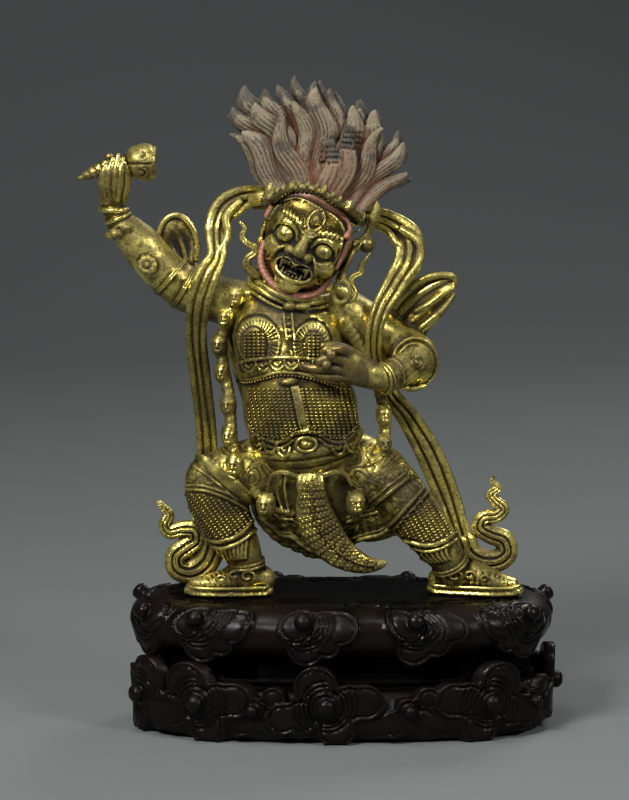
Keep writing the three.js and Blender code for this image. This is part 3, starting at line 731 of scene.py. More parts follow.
@dataclass(frozen=True)
class Finish:
    """The look of one material, as colours of its crests, which carry a painted highlight besides their wear,
    its plain surface and its hollows, which carry painted shade besides their own darker colour.
    """

    name: str
    high: tuple[int, int, int]
    middle: tuple[int, int, int]
    low: tuple[int, int, int]
    blotch: tuple[int, int, int]
    blotch_share: float = 0.42
    mottle: float = 90.0
    reach: float = 0.42
    smooth: float = 0.3
    dull: float = 0.6
    metallic: float = 1.0
    shine: float = 0.5
    pits: float = 0.00006
    grain: float = 0.0
    washes: tuple[Wash, ...] = ()

    def material(self) -> bpy.types.Material:
        """Builds the material, or returns it where it is built already."""
        if self.name in bpy.data.materials:
            return bpy.data.materials[self.name]
        material = bpy.data.materials.new(self.name)
        material.use_nodes = True
        material.node_tree.nodes.clear()
        nodes = Nodes(material.node_tree)
        place = nodes.add("ShaderNodeTexCoord").outputs["Object"]
        hollow = nodes.add("ShaderNodeAttribute", attribute_name=HOLLOW_AND_SHADE).outputs["Fac"]
        age_and_painted_light = nodes.add("ShaderNodeGroup", node_tree=painted_light_and_age_group())
        given = {
            "High": paint(*self.high), "Middle": paint(*self.middle), "Low": paint(*self.low),
            "Blotch": paint(*self.blotch), "Blotch Share": self.blotch_share, "Mottle": self.mottle,
            "Reach": self.reach, "Smooth": self.smooth, "Dull": self.dull, "Metal": self.metallic,
            "Grain": self.grain}
        for label, value in given.items():
            age_and_painted_light.inputs[label].default_value = value
        nodes.tree.links.new(place, age_and_painted_light.inputs["Position"])
        nodes.tree.links.new(hollow, age_and_painted_light.inputs["Hollow"])
        colour = age_and_painted_light.outputs["Color"]
        for wash in self.washes:
            over = nodes.add("ShaderNodeGroup", node_tree=wash_group())
            over.inputs["Centre"].default_value = Vector(wash.centre) * MM
            over.inputs["Near"].default_value = wash.near * MM
            over.inputs["Far"].default_value = wash.far * MM
            over.inputs["Strength"].default_value = wash.strength
            over.inputs["Wash"].default_value = paint(*wash.colour)
            over.inputs["Mottle"].default_value = self.mottle * 2.5
            nodes.tree.links.new(place, over.inputs["Position"])
            nodes.tree.links.new(colour, over.inputs["Under"])
            colour = over.outputs["Color"]
        bump = nodes.add(
            "ShaderNodeBump", {"Height": age_and_painted_light.outputs["Height"], "Distance": self.pits, "Strength": 1.0})
        shader = nodes.add(
            "ShaderNodeBsdfPrincipled",
            {
                "Base Color": colour, "Roughness": age_and_painted_light.outputs["Roughness"],
                "Metallic": age_and_painted_light.outputs["Metallic"], "Normal": bump.outputs["Normal"],
                "Specular IOR Level": self.shine})
        nodes.add("ShaderNodeOutputMaterial", {"Surface": shader.outputs["BSDF"]})
        return material


RAISED_HAND = (-73.0, -5.0, 200.0)
LOWERED_HAND = (6.0, -25.0, 134.0)
HAIR_BASE = (4.0, -12.0, 193.0)
FINISHES = {
    Coat.GILT: Finish(
        "Worn gilt bronze", (246, 228, 128), (126, 108, 40), (17, 14, 6), (60, 49, 20), smooth=0.28,
        dull=0.62, blotch_share=0.52, metallic=0.95, pits=0.00014, grain=0.62,
        washes=(
            # The washes at the hands and the brow are darker patina. Those at the knees, the skirt and the
            # belly darken the lower figure, partly patina and partly painted shade. The wide one on the left
            # side at (-44, -8, 128) and the one by the right scarf and shoulder at (32, -8, 150) are painted
            # shade.
            Wash(RAISED_HAND, 6, 18, (84, 66, 38), 0.5), Wash(LOWERED_HAND, 5, 12, (92, 74, 42)),
            Wash((-2, -14, 187), 2, 12, (84, 70, 40), 0.75), Wash((26, -14, 86), 4, 18, (54, 46, 21), 0.75),
            Wash((0, -16, 84), 5, 24, (66, 56, 25), 0.5), Wash((-44, -8, 128), 12, 46, (70, 60, 24), 0.55),
            Wash((-8, -24, 112), 4, 17, (70, 60, 25), 0.4), Wash((-36, -14, 86), 4, 22, (84, 72, 30), 0.4),
            Wash((32, -8, 150), 8, 34, (92, 80, 36), 0.4))),
    Coat.BROWN: Finish(
        "Brown bronze", (152, 134, 78), (88, 76, 43), (22, 18, 10), (60, 53, 34), smooth=0.38,
        blotch_share=0.5, metallic=0.9, pits=0.0001, grain=0.5),
    Coat.GROUND: Finish(
        "Dark ground", (132, 114, 52), (62, 53, 25), (15, 12, 6), (36, 30, 15), smooth=0.45,
        blotch_share=0.5, metallic=0.7),
    Coat.HAIR: Finish(
        "Pigmented hair", (128, 116, 92), (80, 70, 54), (84, 48, 28), (56, 50, 41), smooth=0.62, dull=0.85,
        metallic=0.0, mottle=140.0, reach=0.5, grain=0.55,
        washes=(Wash(HAIR_BASE, 1, 30, (148, 84, 48), 0.28),)),
    Coat.SOOT: Finish(
        "Blackened hair", (78, 70, 58), (36, 33, 28), (10, 9, 8), (60, 52, 42), smooth=0.6, dull=0.85,
        metallic=0.0, mottle=160.0, reach=0.5),
    Coat.PINK: Finish(
        "Pink paint", (176, 122, 98), (150, 98, 78), (70, 42, 30), (122, 84, 58), smooth=0.5, dull=0.75,
        metallic=0.0, mottle=220.0),
    Coat.BLACK: Finish(
        "Black mouth", (38, 33, 26), (14, 12, 10), (5, 4, 4), (18, 15, 12), smooth=0.3, dull=0.5,
        metallic=0.0),
    Coat.SPECKLED: Finish(
        "Speckled crown", (122, 110, 66), (52, 52, 36), (18, 20, 14), (168, 146, 70), mottle=420.0,
        blotch_share=0.42, smooth=0.45, metallic=0.75),
    Coat.WOOD: Finish(
        "Polished dark hardwood", (20, 14, 11), (5, 4, 3), (1, 1, 1), (18, 7, 4), smooth=0.27, dull=0.5,
        metallic=0.0, shine=0.16, mottle=38.0, reach=0.7, blotch_share=0.5, pits=0.00004),
    # Painted shade: the darker, duller wood that stands for the shadow on the table's top and in the waist.
    Coat.SHADE: Finish(
        "Dull hardwood in painted shade", (12, 9, 8), (4, 4, 3), (1, 1, 1), (9, 5, 4), smooth=0.42, dull=0.6,
        metallic=0.0, shine=0.03, mottle=38.0, reach=0.7, blotch_share=0.5, pits=0.00004),
}


def finish(coat: Coat) -> bpy.types.Material:
    """Returns the material of a coat."""
    return FINISHES[coat].material()


class Repeats:
    """Geometry Nodes trees for what repeats over a surface or along a line."""

    @staticmethod
    def sockets(tree: bpy.types.NodeTree, names: Sequence[str]) -> tuple:
        """Gives a tree its geometry, its named sizes and its finish; returns its nodes and both ends."""
        tree.interface.new_socket("Geometry", in_out="INPUT", socket_type="NodeSocketGeometry")
        for name in names:
            tree.interface.new_socket(name, in_out="INPUT", socket_type="NodeSocketFloat")
        tree.interface.new_socket("Finish", in_out="INPUT", socket_type="NodeSocketMaterial")
        tree.interface.new_socket("Geometry", in_out="OUTPUT", socket_type="NodeSocketGeometry")
        nodes = Nodes(tree)
        return nodes, nodes.add("NodeGroupInput"), nodes.add("NodeGroupOutput")

    @staticmethod
    def ball(nodes: Nodes) -> bpy.types.NodeSocket:
        """Adds a ball of radius one that knows how low each of its points lies, as painted shade on its lower
        half and a painted highlight on its top.
        """
        ball = nodes.add("GeometryNodeMeshUVSphere", {
            "Segments": BALL_SIDES, "Rings": BALL_RINGS, "Radius": 1.0})
        place = nodes.add("GeometryNodeInputPosition").outputs[0]
        height = nodes.add("ShaderNodeSeparateXYZ", {"Vector": place})
        # Painted light: the lower points read as hollow and darken, the top reads as a crest and lightens; on
        # a stud the lower half is the half against the surface.
        low = nodes.add("ShaderNodeMapRange", {
            "Value": height.outputs["Z"], "From Min": 0.6, "From Max": -0.2, "To Min": -0.2, "To Max": 0.5})
        return nodes.add("GeometryNodeStoreNamedAttribute", {
            "Geometry": ball.outputs["Mesh"], "Name": HOLLOW_AND_SHADE, "Value": low.outputs["Result"]},
            data_type="FLOAT", domain="POINT").outputs["Geometry"]

    @staticmethod
    def close(nodes: Nodes, start: bpy.types.Node, end: bpy.types.Node, shape: bpy.types.NodeSocket) -> None:
        """Ends a tree: real faces, smooth, in their finish."""
        real = nodes.add("GeometryNodeRealizeInstances", {"Geometry": shape}).outputs["Geometry"]
        smooth = nodes.add("GeometryNodeSetShadeSmooth", {"Geometry": real}).outputs["Geometry"]
        coated = nodes.add(
            "GeometryNodeSetMaterial", {"Geometry": smooth, "Material": start.outputs["Finish"]})
        nodes.tree.links.new(coated.outputs["Geometry"], end.inputs["Geometry"])

    @classmethod
    def studs(cls) -> bpy.types.NodeTree:
        """Builds the tree that sets a flattened stud on every point, facing out of the surface."""
        name = "Studs on a surface"
        if name in bpy.data.node_groups:
            return bpy.data.node_groups[name]
        tree = bpy.data.node_groups.new(name, "GeometryNodeTree")
        nodes, start, end = cls.sockets(tree, ("Width", "Height", "Relief"))
        size = nodes.add("ShaderNodeCombineXYZ", {"X": start.outputs["Width"], "Y": start.outputs["Height"],
                                                  "Z": start.outputs["Relief"]}).outputs["Vector"]
        stud = nodes.add("GeometryNodeTransform", {"Geometry": cls.ball(nodes), "Scale": size})
        outward = nodes.add("GeometryNodeInputNamedAttribute", {"Name": "outward"}, data_type="FLOAT_VECTOR")
        along = nodes.add("GeometryNodeInputNamedAttribute", {"Name": "along"}, data_type="FLOAT_VECTOR")
        rise = nodes.add("FunctionNodeAlignRotationToVector", {"Vector": outward.outputs[0]}, axis="Z")
        turned = nodes.add("FunctionNodeAlignRotationToVector", {
            "Rotation": rise.outputs[0], "Vector": along.outputs[0]}, axis="Y", pivot_axis="Z")
        placed = nodes.add("GeometryNodeInstanceOnPoints", {
            "Points": start.outputs["Geometry"], "Instance": stud.outputs["Geometry"],
            "Rotation": turned.outputs[0]})
        cls.close(nodes, start, end, placed.outputs["Instances"])
        return tree

    @classmethod
    def beads(cls) -> bpy.types.NodeTree:
        """Builds the tree that threads round beads along every line."""
        name = "Beads on a line"
        if name in bpy.data.node_groups:
            return bpy.data.node_groups[name]
        tree = bpy.data.node_groups.new(name, "GeometryNodeTree")
        nodes, start, end = cls.sockets(tree, ("Spacing", "Radius"))
        curve = nodes.add("GeometryNodeMeshToCurve", {"Mesh": start.outputs["Geometry"]})
        even = nodes.add(
            "GeometryNodeResampleCurve",
            {"Curve": curve.outputs["Curve"], "Length": start.outputs["Spacing"]}, mode="LENGTH")
        placed = nodes.add("GeometryNodeInstanceOnPoints", {
            "Points": even.outputs["Curve"], "Instance": cls.ball(nodes), "Scale": start.outputs["Radius"]})
        cls.close(nodes, start, end, placed.outputs["Instances"])
        return tree

    @staticmethod
    def run(name: str, source: bpy.types.Mesh, tree: bpy.types.NodeTree,
            values: dict) -> None:
        """Runs a tree on a mesh with values by input name, and settles the result as a plain piece."""
        helper = bpy.data.objects.new(name + "_source", source)
        bpy.context.scene.collection.objects.link(helper)
        modifier = helper.modifiers.new(name, "NODES")
        modifier.node_group = tree
        for item in tree.interface.items_tree:
            if item.in_out == "INPUT" and item.name in values:
                modifier[item.identifier] = values[item.name]
        bpy.context.view_layer.update()
        mesh = bpy.data.meshes.new_from_object(helper.evaluated_get(bpy.context.evaluated_depsgraph_get()))
        helper.modifiers.remove(modifier)
        bpy.data.objects.remove(helper)
        bpy.data.meshes.remove(source)
        mesh.name = name
        settle(mesh)


@dataclass
class StudField:
    """Studs gathered from several patches of a surface, all of one size."""

    name: str
    width: float
    height: float
    relief: float
    points: list = field(default_factory=list)
    outward: list = field(default_factory=list)
    along: list = field(default_factory=list)

    def add(self, points: np.ndarray, outward: np.ndarray, along: Point) -> None:
        """Adds studs at points, facing outward, with their height running along a direction."""
        self.points.append(np.asarray(points, float))
        self.outward.append(np.asarray(outward, float))
        self.along.append(np.broadcast_to(np.asarray(along, float), points.shape))

    def piece(self) -> None:
        """Makes the studs one piece."""
        points = np.concatenate(self.points)
        mesh = bpy.data.meshes.new(self.name)
        mesh.from_pydata(points * MM, [], [])
        for label, rows in (("outward", self.outward), ("along", self.along)):
            layer = mesh.attributes.new(label, "FLOAT_VECTOR", "POINT")
            layer.data.foreach_set("vector", np.concatenate(rows).astype(np.float32).ravel())
        Repeats.run(self.name, mesh, Repeats.studs(), {
            "Width": self.width * MM, "Height": self.height * MM, "Relief": self.relief * MM,
            "Finish": finish(Coat.GILT)})


@dataclass
class BeadLines:
    """Lines of beads, all of one size."""

    name: str
    spacing: float
    radius: float
    lines: list = field(default_factory=list)

    def add(self, points: np.ndarray) -> None:
        """Adds one line."""
        self.lines.append(np.asarray(points, float))

    def piece(self) -> None:
        """Makes the beads one piece."""
        edges, first = [], 0
        for line in self.lines:
            edges += [(first + i, first + i + 1) for i in range(len(line) - 1)]
            first += len(line)
        mesh = bpy.data.meshes.new(self.name)
        mesh.from_pydata(np.concatenate(self.lines) * MM, edges, [])
        Repeats.run(self.name, mesh, Repeats.beads(), {
            "Spacing": self.spacing * MM, "Radius": self.radius * MM, "Finish": finish(Coat.GILT)})


HEAD = np.array([-5.8, -7.0, 175.5])
HEAD_TILT = 25.0
HEAD_TURN = -8.0
HEAD_AXES = np.array(Matrix.Rotation(math.radians(HEAD_TILT), 3, "Y")
                     @ Matrix.Rotation(math.radians(HEAD_TURN), 3, "Z"))
FACE_OUT = tuple(HEAD_AXES @ np.array([0.0, -1.0, 0.0]))


def on_head(right: float, out: float, up: float) -> np.ndarray:
    """Returns the point of the tilted head at those mm to the right, outward and up from its middle."""
    return HEAD + HEAD_AXES @ np.array([right, -out, up])


def turned(x: float, y: float, z: float) -> np.ndarray:
    """Returns the axes of something turned by those degrees about X, then Y, then Z."""
    angles = [math.radians(a) for a in (x, y, z)]
    spin = (Matrix.Rotation(angles[2], 3, "Z") @ Matrix.Rotation(angles[1], 3, "Y")
            @ Matrix.Rotation(angles[0], 3, "X"))
    return np.array(spin)


def facing_axes(facing: Point) -> np.ndarray:
    """Returns axes whose third points along a direction and whose second is as upright as it can be."""
    out = unit(facing)
    side = unit(np.cross(UP, out)) if abs(out[2]) < 0.95 else np.array([1.0, 0.0, 0.0])
    return np.stack([side, np.cross(out, side), out], axis=1)


def ring(at: Point, axes: np.ndarray, wide: float, tall: float, radius: float, count: int = 16) -> list:
    """Returns the stations of a closed ring in the plane of the first two axes."""
    spots = [np.asarray(at) + axes @ (wide * math.cos(t), tall * math.sin(t), 0.0)
             for t in np.linspace(0, math.tau, count + 1)]
    return [(*p, radius) for p in spots]


@dataclass
class Head:
    """The tilted wrathful head with its three eyes, crown and earrings."""

    cell: float = 0.28
    band: Rows = (
        (-20.4, -3, 189.6), (-18.8, -8.4, 190.8), (-13.4, -15.4, 195), (-7.4, -18.6, 196.4),
        (-1.4, -19.2, 195.4), (4.3, -17.2, 191.4), (8.8, -13.2, 188.2), (12.0, -8, 184.8),
        (13.4, -2.6, 182.4))
    beads: BeadLines = field(default_factory=lambda: BeadLines("figure_crown_beads", 1.7, 0.85))

    def ball(self, clay: Clay, place: Point, half: Point | float, **options) -> None:
        """Adds a ball at (right, out, up) whose half sizes run right, out and up."""
        clay.ball(on_head(*place), half, HEAD_AXES, **options)

    def trace(self, clay: Clay, spots: Sequence[Point], radii: Sequence[float] | float, lift: float = 0.3,
              blend: float = 0.3, **options) -> None:
        """Lays a cord over the face through spots (right, up)."""
        radii = np.broadcast_to(np.asarray(radii, float), len(spots))
        path, _ = smooth_path([(right, 0.0, up, r) for (right, up), r in zip(spots, radii)], 1.0)
        out = np.array(FACE_OUT)
        points = clay.land(np.array([on_head(right, 24, up) for right, up in path[:, [0, 2]]]), -out)
        stations = [(*(p + out * r * lift), r) for p, r in zip(points, path[:, 3])]
        clay.stroke(stations, facing=FACE_OUT, blend=blend, **options)

    def skull(self, clay: Clay) -> None:
        """Models the masses of the skull, jaw, cheeks and brow."""
        self.ball(clay, (0, 0, 2), (15.2, 13.4, 15.2))
        self.ball(clay, (-6.6, -1.5, 5.4), (11.8, 11, 11.2), blend=3)
        self.ball(clay, (0.4, 1.5, -7), (12.2, 11, 10.6), blend=4)
        for side in (-1, 1):
            self.ball(clay, (6.6 * side, 9.4, 5.6), (6, 3.6, 3), blend=2)
            self.ball(clay, (9 * side, 8.4, -4.4), (4.6, 4.8, 3.8), blend=1.6)
            self.ball(clay, (7.3 * side, 14.8, 1.0), (4.7, 3.4, 4.2), blend=1.4, cut=True)
        self.ball(clay, (0.4, 10.6, -15.2), (4.8, 3.2, 2.6), blend=2)

    def eyes(self, clay: Clay) -> None:
        """Models the two bulging ringed eyes and the upright one in the forehead."""
        for side, size in ((-1, 1.0), (1, 0.9)):
            x = 7.5 * side
            self.ball(clay, (x, 11.0, 1.1), np.array([3.3, 3.4, 3.1]) * size, blend=0.1)
            socket = arc((x, 1.1), 3.75 * size, 3.5 * size, np.linspace(0, math.tau, 17))
            self.trace(clay, socket, 0.36, lift=0.0, blend=0.2, cut=True, coat=Coat.GROUND)
            over = [
                (x - 4.9 * size, 0.6), (x - 3.4 * size, 3.9), (x, 5.3), (x + 3.4 * size, 3.9),
                (x + 4.9 * size, 0.6)]
            self.trace(clay, over, (0.3, 0.8, 0.95, 0.8, 0.3), lift=0.1, blend=0.6)
            bag = arc((x, 0.6), 5.0 * size, 4.6 * size, np.linspace(-2.6, -0.5, 9))
            self.trace(clay, bag, 0.45, lift=0.0, blend=0.6)
            self.ball(clay, (x, 14.3, 1.0), (0.9, 0.35, 0.9), blend=0.1, coat=Coat.BROWN)
        self.ball(clay, (0.4, 12.0, 9.9), (1.9, 2.3, 2.4), blend=0.2)
        almond = [(0.4 + 2.7 * math.sin(t), 9.9 + 3.7 * math.cos(t)) for t in np.linspace(0, math.tau, 17)]
        self.trace(clay, almond, 0.6, lift=0.1)

    def brows(self, clay: Clay) -> None:
        """Models the flame-like brows with their combed lines, and the knotted root of the nose."""
        for side in (-1, 1):
            root = [(1.8 * side, 4.4), (4.4 * side, 6.6), (8.4 * side, 7.8), (12 * side, 7.6)]
            self.trace(clay, root, (0.8, 1.3, 1.2, 0.4), lift=0.0, blend=0.6, relief=strands(3, 0.3))
            for i in range(7):
                start = 2.2 + 1.5 * i
                lick = [(start * side, 6.2 + 0.25 * i), ((start + 0.9) * side, 8.3 + 0.2 * i),
                        ((start + 2.4) * side, 9.9 + 0.12 * i)]
                self.trace(clay, lick, (0.8, 0.6, 0.25), lift=0.0, blend=0.4, relief=strands(2, 0.25))
                parting = [(r + 0.75 * side, u - 0.1) for r, u in lick]
                self.trace(clay, parting, (0.3, 0.26, 0.2), lift=0.0, blend=0.1, cut=True, coat=Coat.GROUND)
        for up, half in ((5.2, 1.5), (4.0, 2.0), (2.8, 1.8)):
            self.trace(
                clay, [(-half + 0.2, up + 0.3), (0.2, up - 0.2), (half + 0.2, up + 0.3)], 0.5, lift=0.5)

    def nose(self, clay: Clay) -> None:
        """Models the broad flared nose."""
        bridge = [(*on_head(0.2, 12.2, 4.6), 1.5), (*on_head(0.1, 13.4, 1.6), 1.6),
                  (*on_head(0, 14.6, -1.0), 2.1), (*on_head(0, 15.0, -2.6), 2.5, 2.0)]
        clay.stroke(bridge, facing=FACE_OUT, blend=1.2)
        for side in (-1, 1):
            self.ball(clay, (3.1 * side, 13.2, -3.3), (2.2, 2.2, 1.9), blend=0.5)
            self.ball(clay, (2.7 * side, 15.4, -4.9), (0.9, 1.2, 0.8), blend=0.2, cut=True, coat=Coat.BLACK)
            fold = [(4.9 * side, -2.0), (6.6 * side, -3.6), (8.2 * side, -6.0), (8.9 * side, -9.4)]
            self.trace(clay, fold, (0.5, 0.6, 0.6, 0.4), lift=0.1)
            curl = [(8.9 * side, -9.4), (10.3 * side, -10.6), (10.9 * side, -9.0), (9.9 * side, -8.2)]
            self.trace(clay, curl, 0.42, lift=0.1)

    def mouth(self, clay: Clay) -> None:
        """Cuts the open mouth and sets its curled lips, teeth, fangs and tongue."""
        rim = []
        for t in np.linspace(0, math.tau, 25):
            dip = 1.7 * math.exp(-((7 * math.cos(t)) / 2.1) ** 2) if math.sin(t) > 0 else 0.0
            rim.append((0.6 + 6.9 * math.cos(t), -9.4 + 3.6 * math.sin(t) - dip))
        self.ball(clay, (0.6, 9.4, -9.4), (8.0, 4.8, 5.2), blend=2.5)
        self.trace(clay, rim, 0.62, lift=0.3, blend=0.5)
        for side in (-1, 1):
            self.ball(
                clay, (0.6 + 3.4 * side, 14.2, -8.9), (3.1, 5.4, 2.5), blend=0.3, cut=True, coat=Coat.BLACK)
        self.ball(clay, (0.6, 14.2, -10.1), (5.6, 5.2, 1.9), blend=0.3, cut=True, coat=Coat.BLACK)
        self.ball(clay, (0.6, 10.4, -10.4), (3.0, 2.8, 1.0), blend=0.2, coat=Coat.BLACK)
        for i in range(6):
            across = 0.6 + (i - 2.5) * 1.45
            self.ball(clay, (across, 12.4, -7.7 - 0.5 * (abs(i - 2.5) < 1)), (0.68, 0.8, 1.0), blend=0.05,
                      coat=Coat.GROUND)
            self.ball(clay, (across, 12.0, -11.6), (0.64, 0.8, 0.85), blend=0.05, coat=Coat.GROUND)
        for side in (-1, 1):
            upper = [
                (*on_head(0.6 + 4.9 * side, 12.6, -7.4), 0.85),
                (*on_head(0.6 + 4.7 * side, 12.9, -10.2), 0.3)]
            lower = [
                (*on_head(0.6 + 3.4 * side, 12.4, -12), 0.75),
                (*on_head(0.6 + 3.6 * side, 12.8, -9.6), 0.28)]
            clay.stroke(upper, facing=FACE_OUT, coat=Coat.BROWN, blend=0.1)
            clay.stroke(lower, facing=FACE_OUT, coat=Coat.BROWN, blend=0.1)

    @staticmethod
    def combed(s: np.ndarray, u: np.ndarray, v: np.ndarray) -> np.ndarray:
        """Cuts the hairs of the beard."""
        return 0.3 * ridges(s / 1.7 + 0.22 * u) ** 2

    def beard(self, clay: Clay) -> None:
        """Lays the painted fringe of beard under the jaw and the painted band over the forehead."""
        fringe = [
            (-14.0, 0.5, -7.4), (-12.9, 3.0, -11.4), (-10.4, 4.6, -14.8), (-6.2, 6.0, -17.4),
            (-1, 6.8, -18.7), (3.8, 6.6, -18.8), (8.4, 5.4, -17), (11.6, 3.6, -13.6), (12.9, 1.0, -8)]
        stations = [(*on_head(r * 0.97, o - 0.4, u * 0.97), 1.5, 3.4) for r, o, u in fringe]
        clay.stroke(stations, facing=FACE_OUT, blend=0.3, coat=Coat.PINK, relief=self.combed)
        hairline = [
            (-17.0, 3.0), (-16.4, 8.0), (-14.4, 12.0), (-10.3, 15.0), (-5, 15.8), (0.7, 15.6), (6.5, 14.8),
            (10.6, 12.6), (12.8, 8.6), (13.6, 3.4), (13.4, -2.6)]
        self.trace(clay, hairline, 1.0, lift=0.2, coat=Coat.PINK)
        inner = [(r * 0.91, u * 0.91 - 0.1) for r, u in hairline]
        self.trace(clay, inner, 0.42, lift=0.4)

    def ears(self, clay: Clay) -> None:
        """Models the ears with their rims and long lobes."""
        for side in (-1, 1):
            self.ball(clay, (15.2 * side, -1.2, 0.2), (1.8, 2.4, 4.4), blend=0.6)
            rim = [(*on_head(16.2 * side, 0.6 + 2.0 * math.sin(t), 0.6 + 4.6 * math.cos(t)), 0.75)
                   for t in np.linspace(-0.6, math.pi, 10)]
            clay.stroke(rim, facing=FACE_OUT, blend=0.3)
            self.ball(clay, (15.6 * side, 0, -5.8), (1.3, 1.6, 2.4), blend=0.5)

    def crown(self, clay: Clay) -> None:
        """Sets the crown over the brow: a speckled band between beads, with leaves and side knots."""
        rail, length = smooth_path(self.band, 1.0)

        def bar(share: float, rise: float, out: float) -> np.ndarray:
            """Returns a point of the crown's line at that share of its length."""
            point = np.array([np.interp(share * length[-1], length, rail[:, i]) for i in range(3)])
            return point + unit(point - HEAD) * rise * 0.9 + np.array(FACE_OUT) * out

        shares = np.linspace(0, 1, 25)
        clay.stroke(
            [(*bar(t, 0.4, 0), 1.5, 1.7) for t in shares], facing=FACE_OUT, blend=0.4, coat=Coat.SPECKLED)
        self.beads.add([bar(t, -1.5, 1.4) for t in shares[1:-1]])
        for share in (0.14, 0.34, 0.54, 0.74, 0.92):
            self.leaf(clay, bar(share, 1.6, 1.5), 2.3)
        for share in np.linspace(0.03, 0.97, 18):
            clay.ball(bar(share, 0.2, 1.5), 0.85, blend=0.1, coat=Coat.SPECKLED)
            self.leaf(clay, bar(share + 0.02, 2.0, 0.2), 1.5, Coat.SPECKLED)
        knots = (
            ((-18.4, -5, 190.6, 2.4), (-19, -5.4, 194.4, 1.9), (-17.6, -5.2, 197.8, 0.6)),
            ((18, -4.4, 184.2, 2.3), (18.9, -4.6, 187.4, 1.8), (18.6, -4.6, 190.6, 0.6)),
            ((-16.6, -3, 190, 2.6), (-21.4, -2, 191.4, 2.9), (-25, -0.5, 190.2, 2.2)),
            ((8, -6, 174, 1.8), (12, -5.2, 175.6, 1.5), (15.4, -4, 178, 1.5), (18, -4, 184.6, 1.8)),
            ((9, -7.4, 172.4, 1.5), (11.6, -7.8, 173.4, 0.9), (13.6, -7.6, 175.8, 0.4)))
        for stations in knots:
            clay.stroke(stations, blend=0.5, relief=strands(3, 0.3))
        clay.ball((15.4, -4.4, 175), 2.9, blend=0.3, coat=Coat.BROWN)
        for turn in (0, 60, 120):
            clay.stroke(
                ring((15.4, -4.4, 175), turned(0, turn, 0) @ facing_axes(OUT), 2.85, 2.85, 0.3), blend=0.1,
                coat=Coat.BROWN)

    def leaf(self, clay: Clay, at: Point, size: float, coat: Optional[Coat] = None) -> None:
        """Sets one pointed leaf of the crown, with a vein and a jewel at its foot."""
        up = HEAD_AXES @ np.array([0.0, 0.25, 1.0])
        blade = [(*(at - up * size * 0.5), size * 0.5, 0.8), (*(at + up * size * 0.2), size * 0.55, 0.8),
                 (*(at + up * size * 0.95), size * 0.12, 0.5)]
        clay.stroke(blade, facing=FACE_OUT, blend=0.2, relief=strands(2, 0.35), coat=coat)
        clay.ball(at - up * size * 0.35 + np.array(FACE_OUT) * 0.8, size * 0.27, blend=0.1, coat=coat)

    def earrings(self, clay: Clay) -> None:
        """Hangs the earrings: a ring with a wavy ribbon rising from it at each ear."""
        left = [
            (-24.6, -9, 165.0), (-27.2, -9.2, 167.6), (-27.0, -9.2, 170.4), (-24.6, -9, 172.4),
            (-24.9, -9, 174.6), (-27.9, -9, 176.4), (-29.0, -9, 178.8), (-27.9, -9, 181),
            (-29.5, -9, 183.2)]
        widths = (1.9, 1.9, 1.7, 1.6, 1.5, 1.4, 1.2, 1.0, 0.8)
        clay.stroke([(*p, w, 1.4) for p, w in zip(left, widths)], relief=strands(2, 0.5))
        clay.stroke(ring((-23.6, -8.6, 163.4), facing_axes(OUT), 2.9, 3.6, 0.85), blend=0.2)
        clay.stroke([(-19.4, -6.6, 172, 1.5), (-21.4, -7.6, 168, 1.4), (-23.4, -8.6, 164.4, 1.4)])
        clay.stroke(ring((6.4, -12.4, 158.8), turned(0, 8, 0) @ facing_axes(OUT), 2.9, 4.0, 0.9), blend=0.2)
        clay.stroke(
            [(6.5, -11.8, 162.6, 1.3), (7.4, -9, 168, 1.6), (8, -7, 173, 1.6)], relief=strands(2, 0.3))
        right = [
            (6.6, -12, 155.2), (9.6, -11, 155.8), (10.9, -9.8, 158.4), (9.6, -9.4, 161.0),
            (10.4, -9.2, 163.8), (13.2, -9, 165.2), (13.4, -9, 167.8), (14.6, -9, 169.6), (16.4, -9, 172.2)]
        widths = (1.0, 1.4, 1.6, 1.6, 1.5, 1.4, 1.3, 0.9, 0.4)
        clay.stroke([(*p, w, 1.3) for p, w in zip(right, widths)], relief=strands(2, 0.5))

    def build(self) -> None:
        """Builds the head."""
        clay = Clay((-36, -31, 149), (24, 12, 203), self.cell)
        self.skull(clay)
        self.brows(clay)
        self.eyes(clay)
        self.nose(clay)
        self.mouth(clay)
        self.beard(clay)
        self.ears(clay)
        self.crown(clay)
        self.earrings(clay)
        clay.piece("figure_head")
        self.beads.piece()


@dataclass(frozen=True)
class Locks:
    """One row of hair: locks side by side, each from the fan's root to its own tip.

    Attributes:
        edges: the angles between the locks, in degrees.
        tips: the radius that each lock's tip reaches.
        depth: how far behind the root the row stands; negative is in front.
        thick: half the thickness of a lock.
        taper: how far the sides of a lock end short of its tip.
        power: how pointed the tips are.
        soot: the blackened length of the tips.
    """

    edges: tuple[float, ...]
    tips: tuple[float, ...]
    depth: float
    thick: float
    taper: float
    power: float
    soot: float


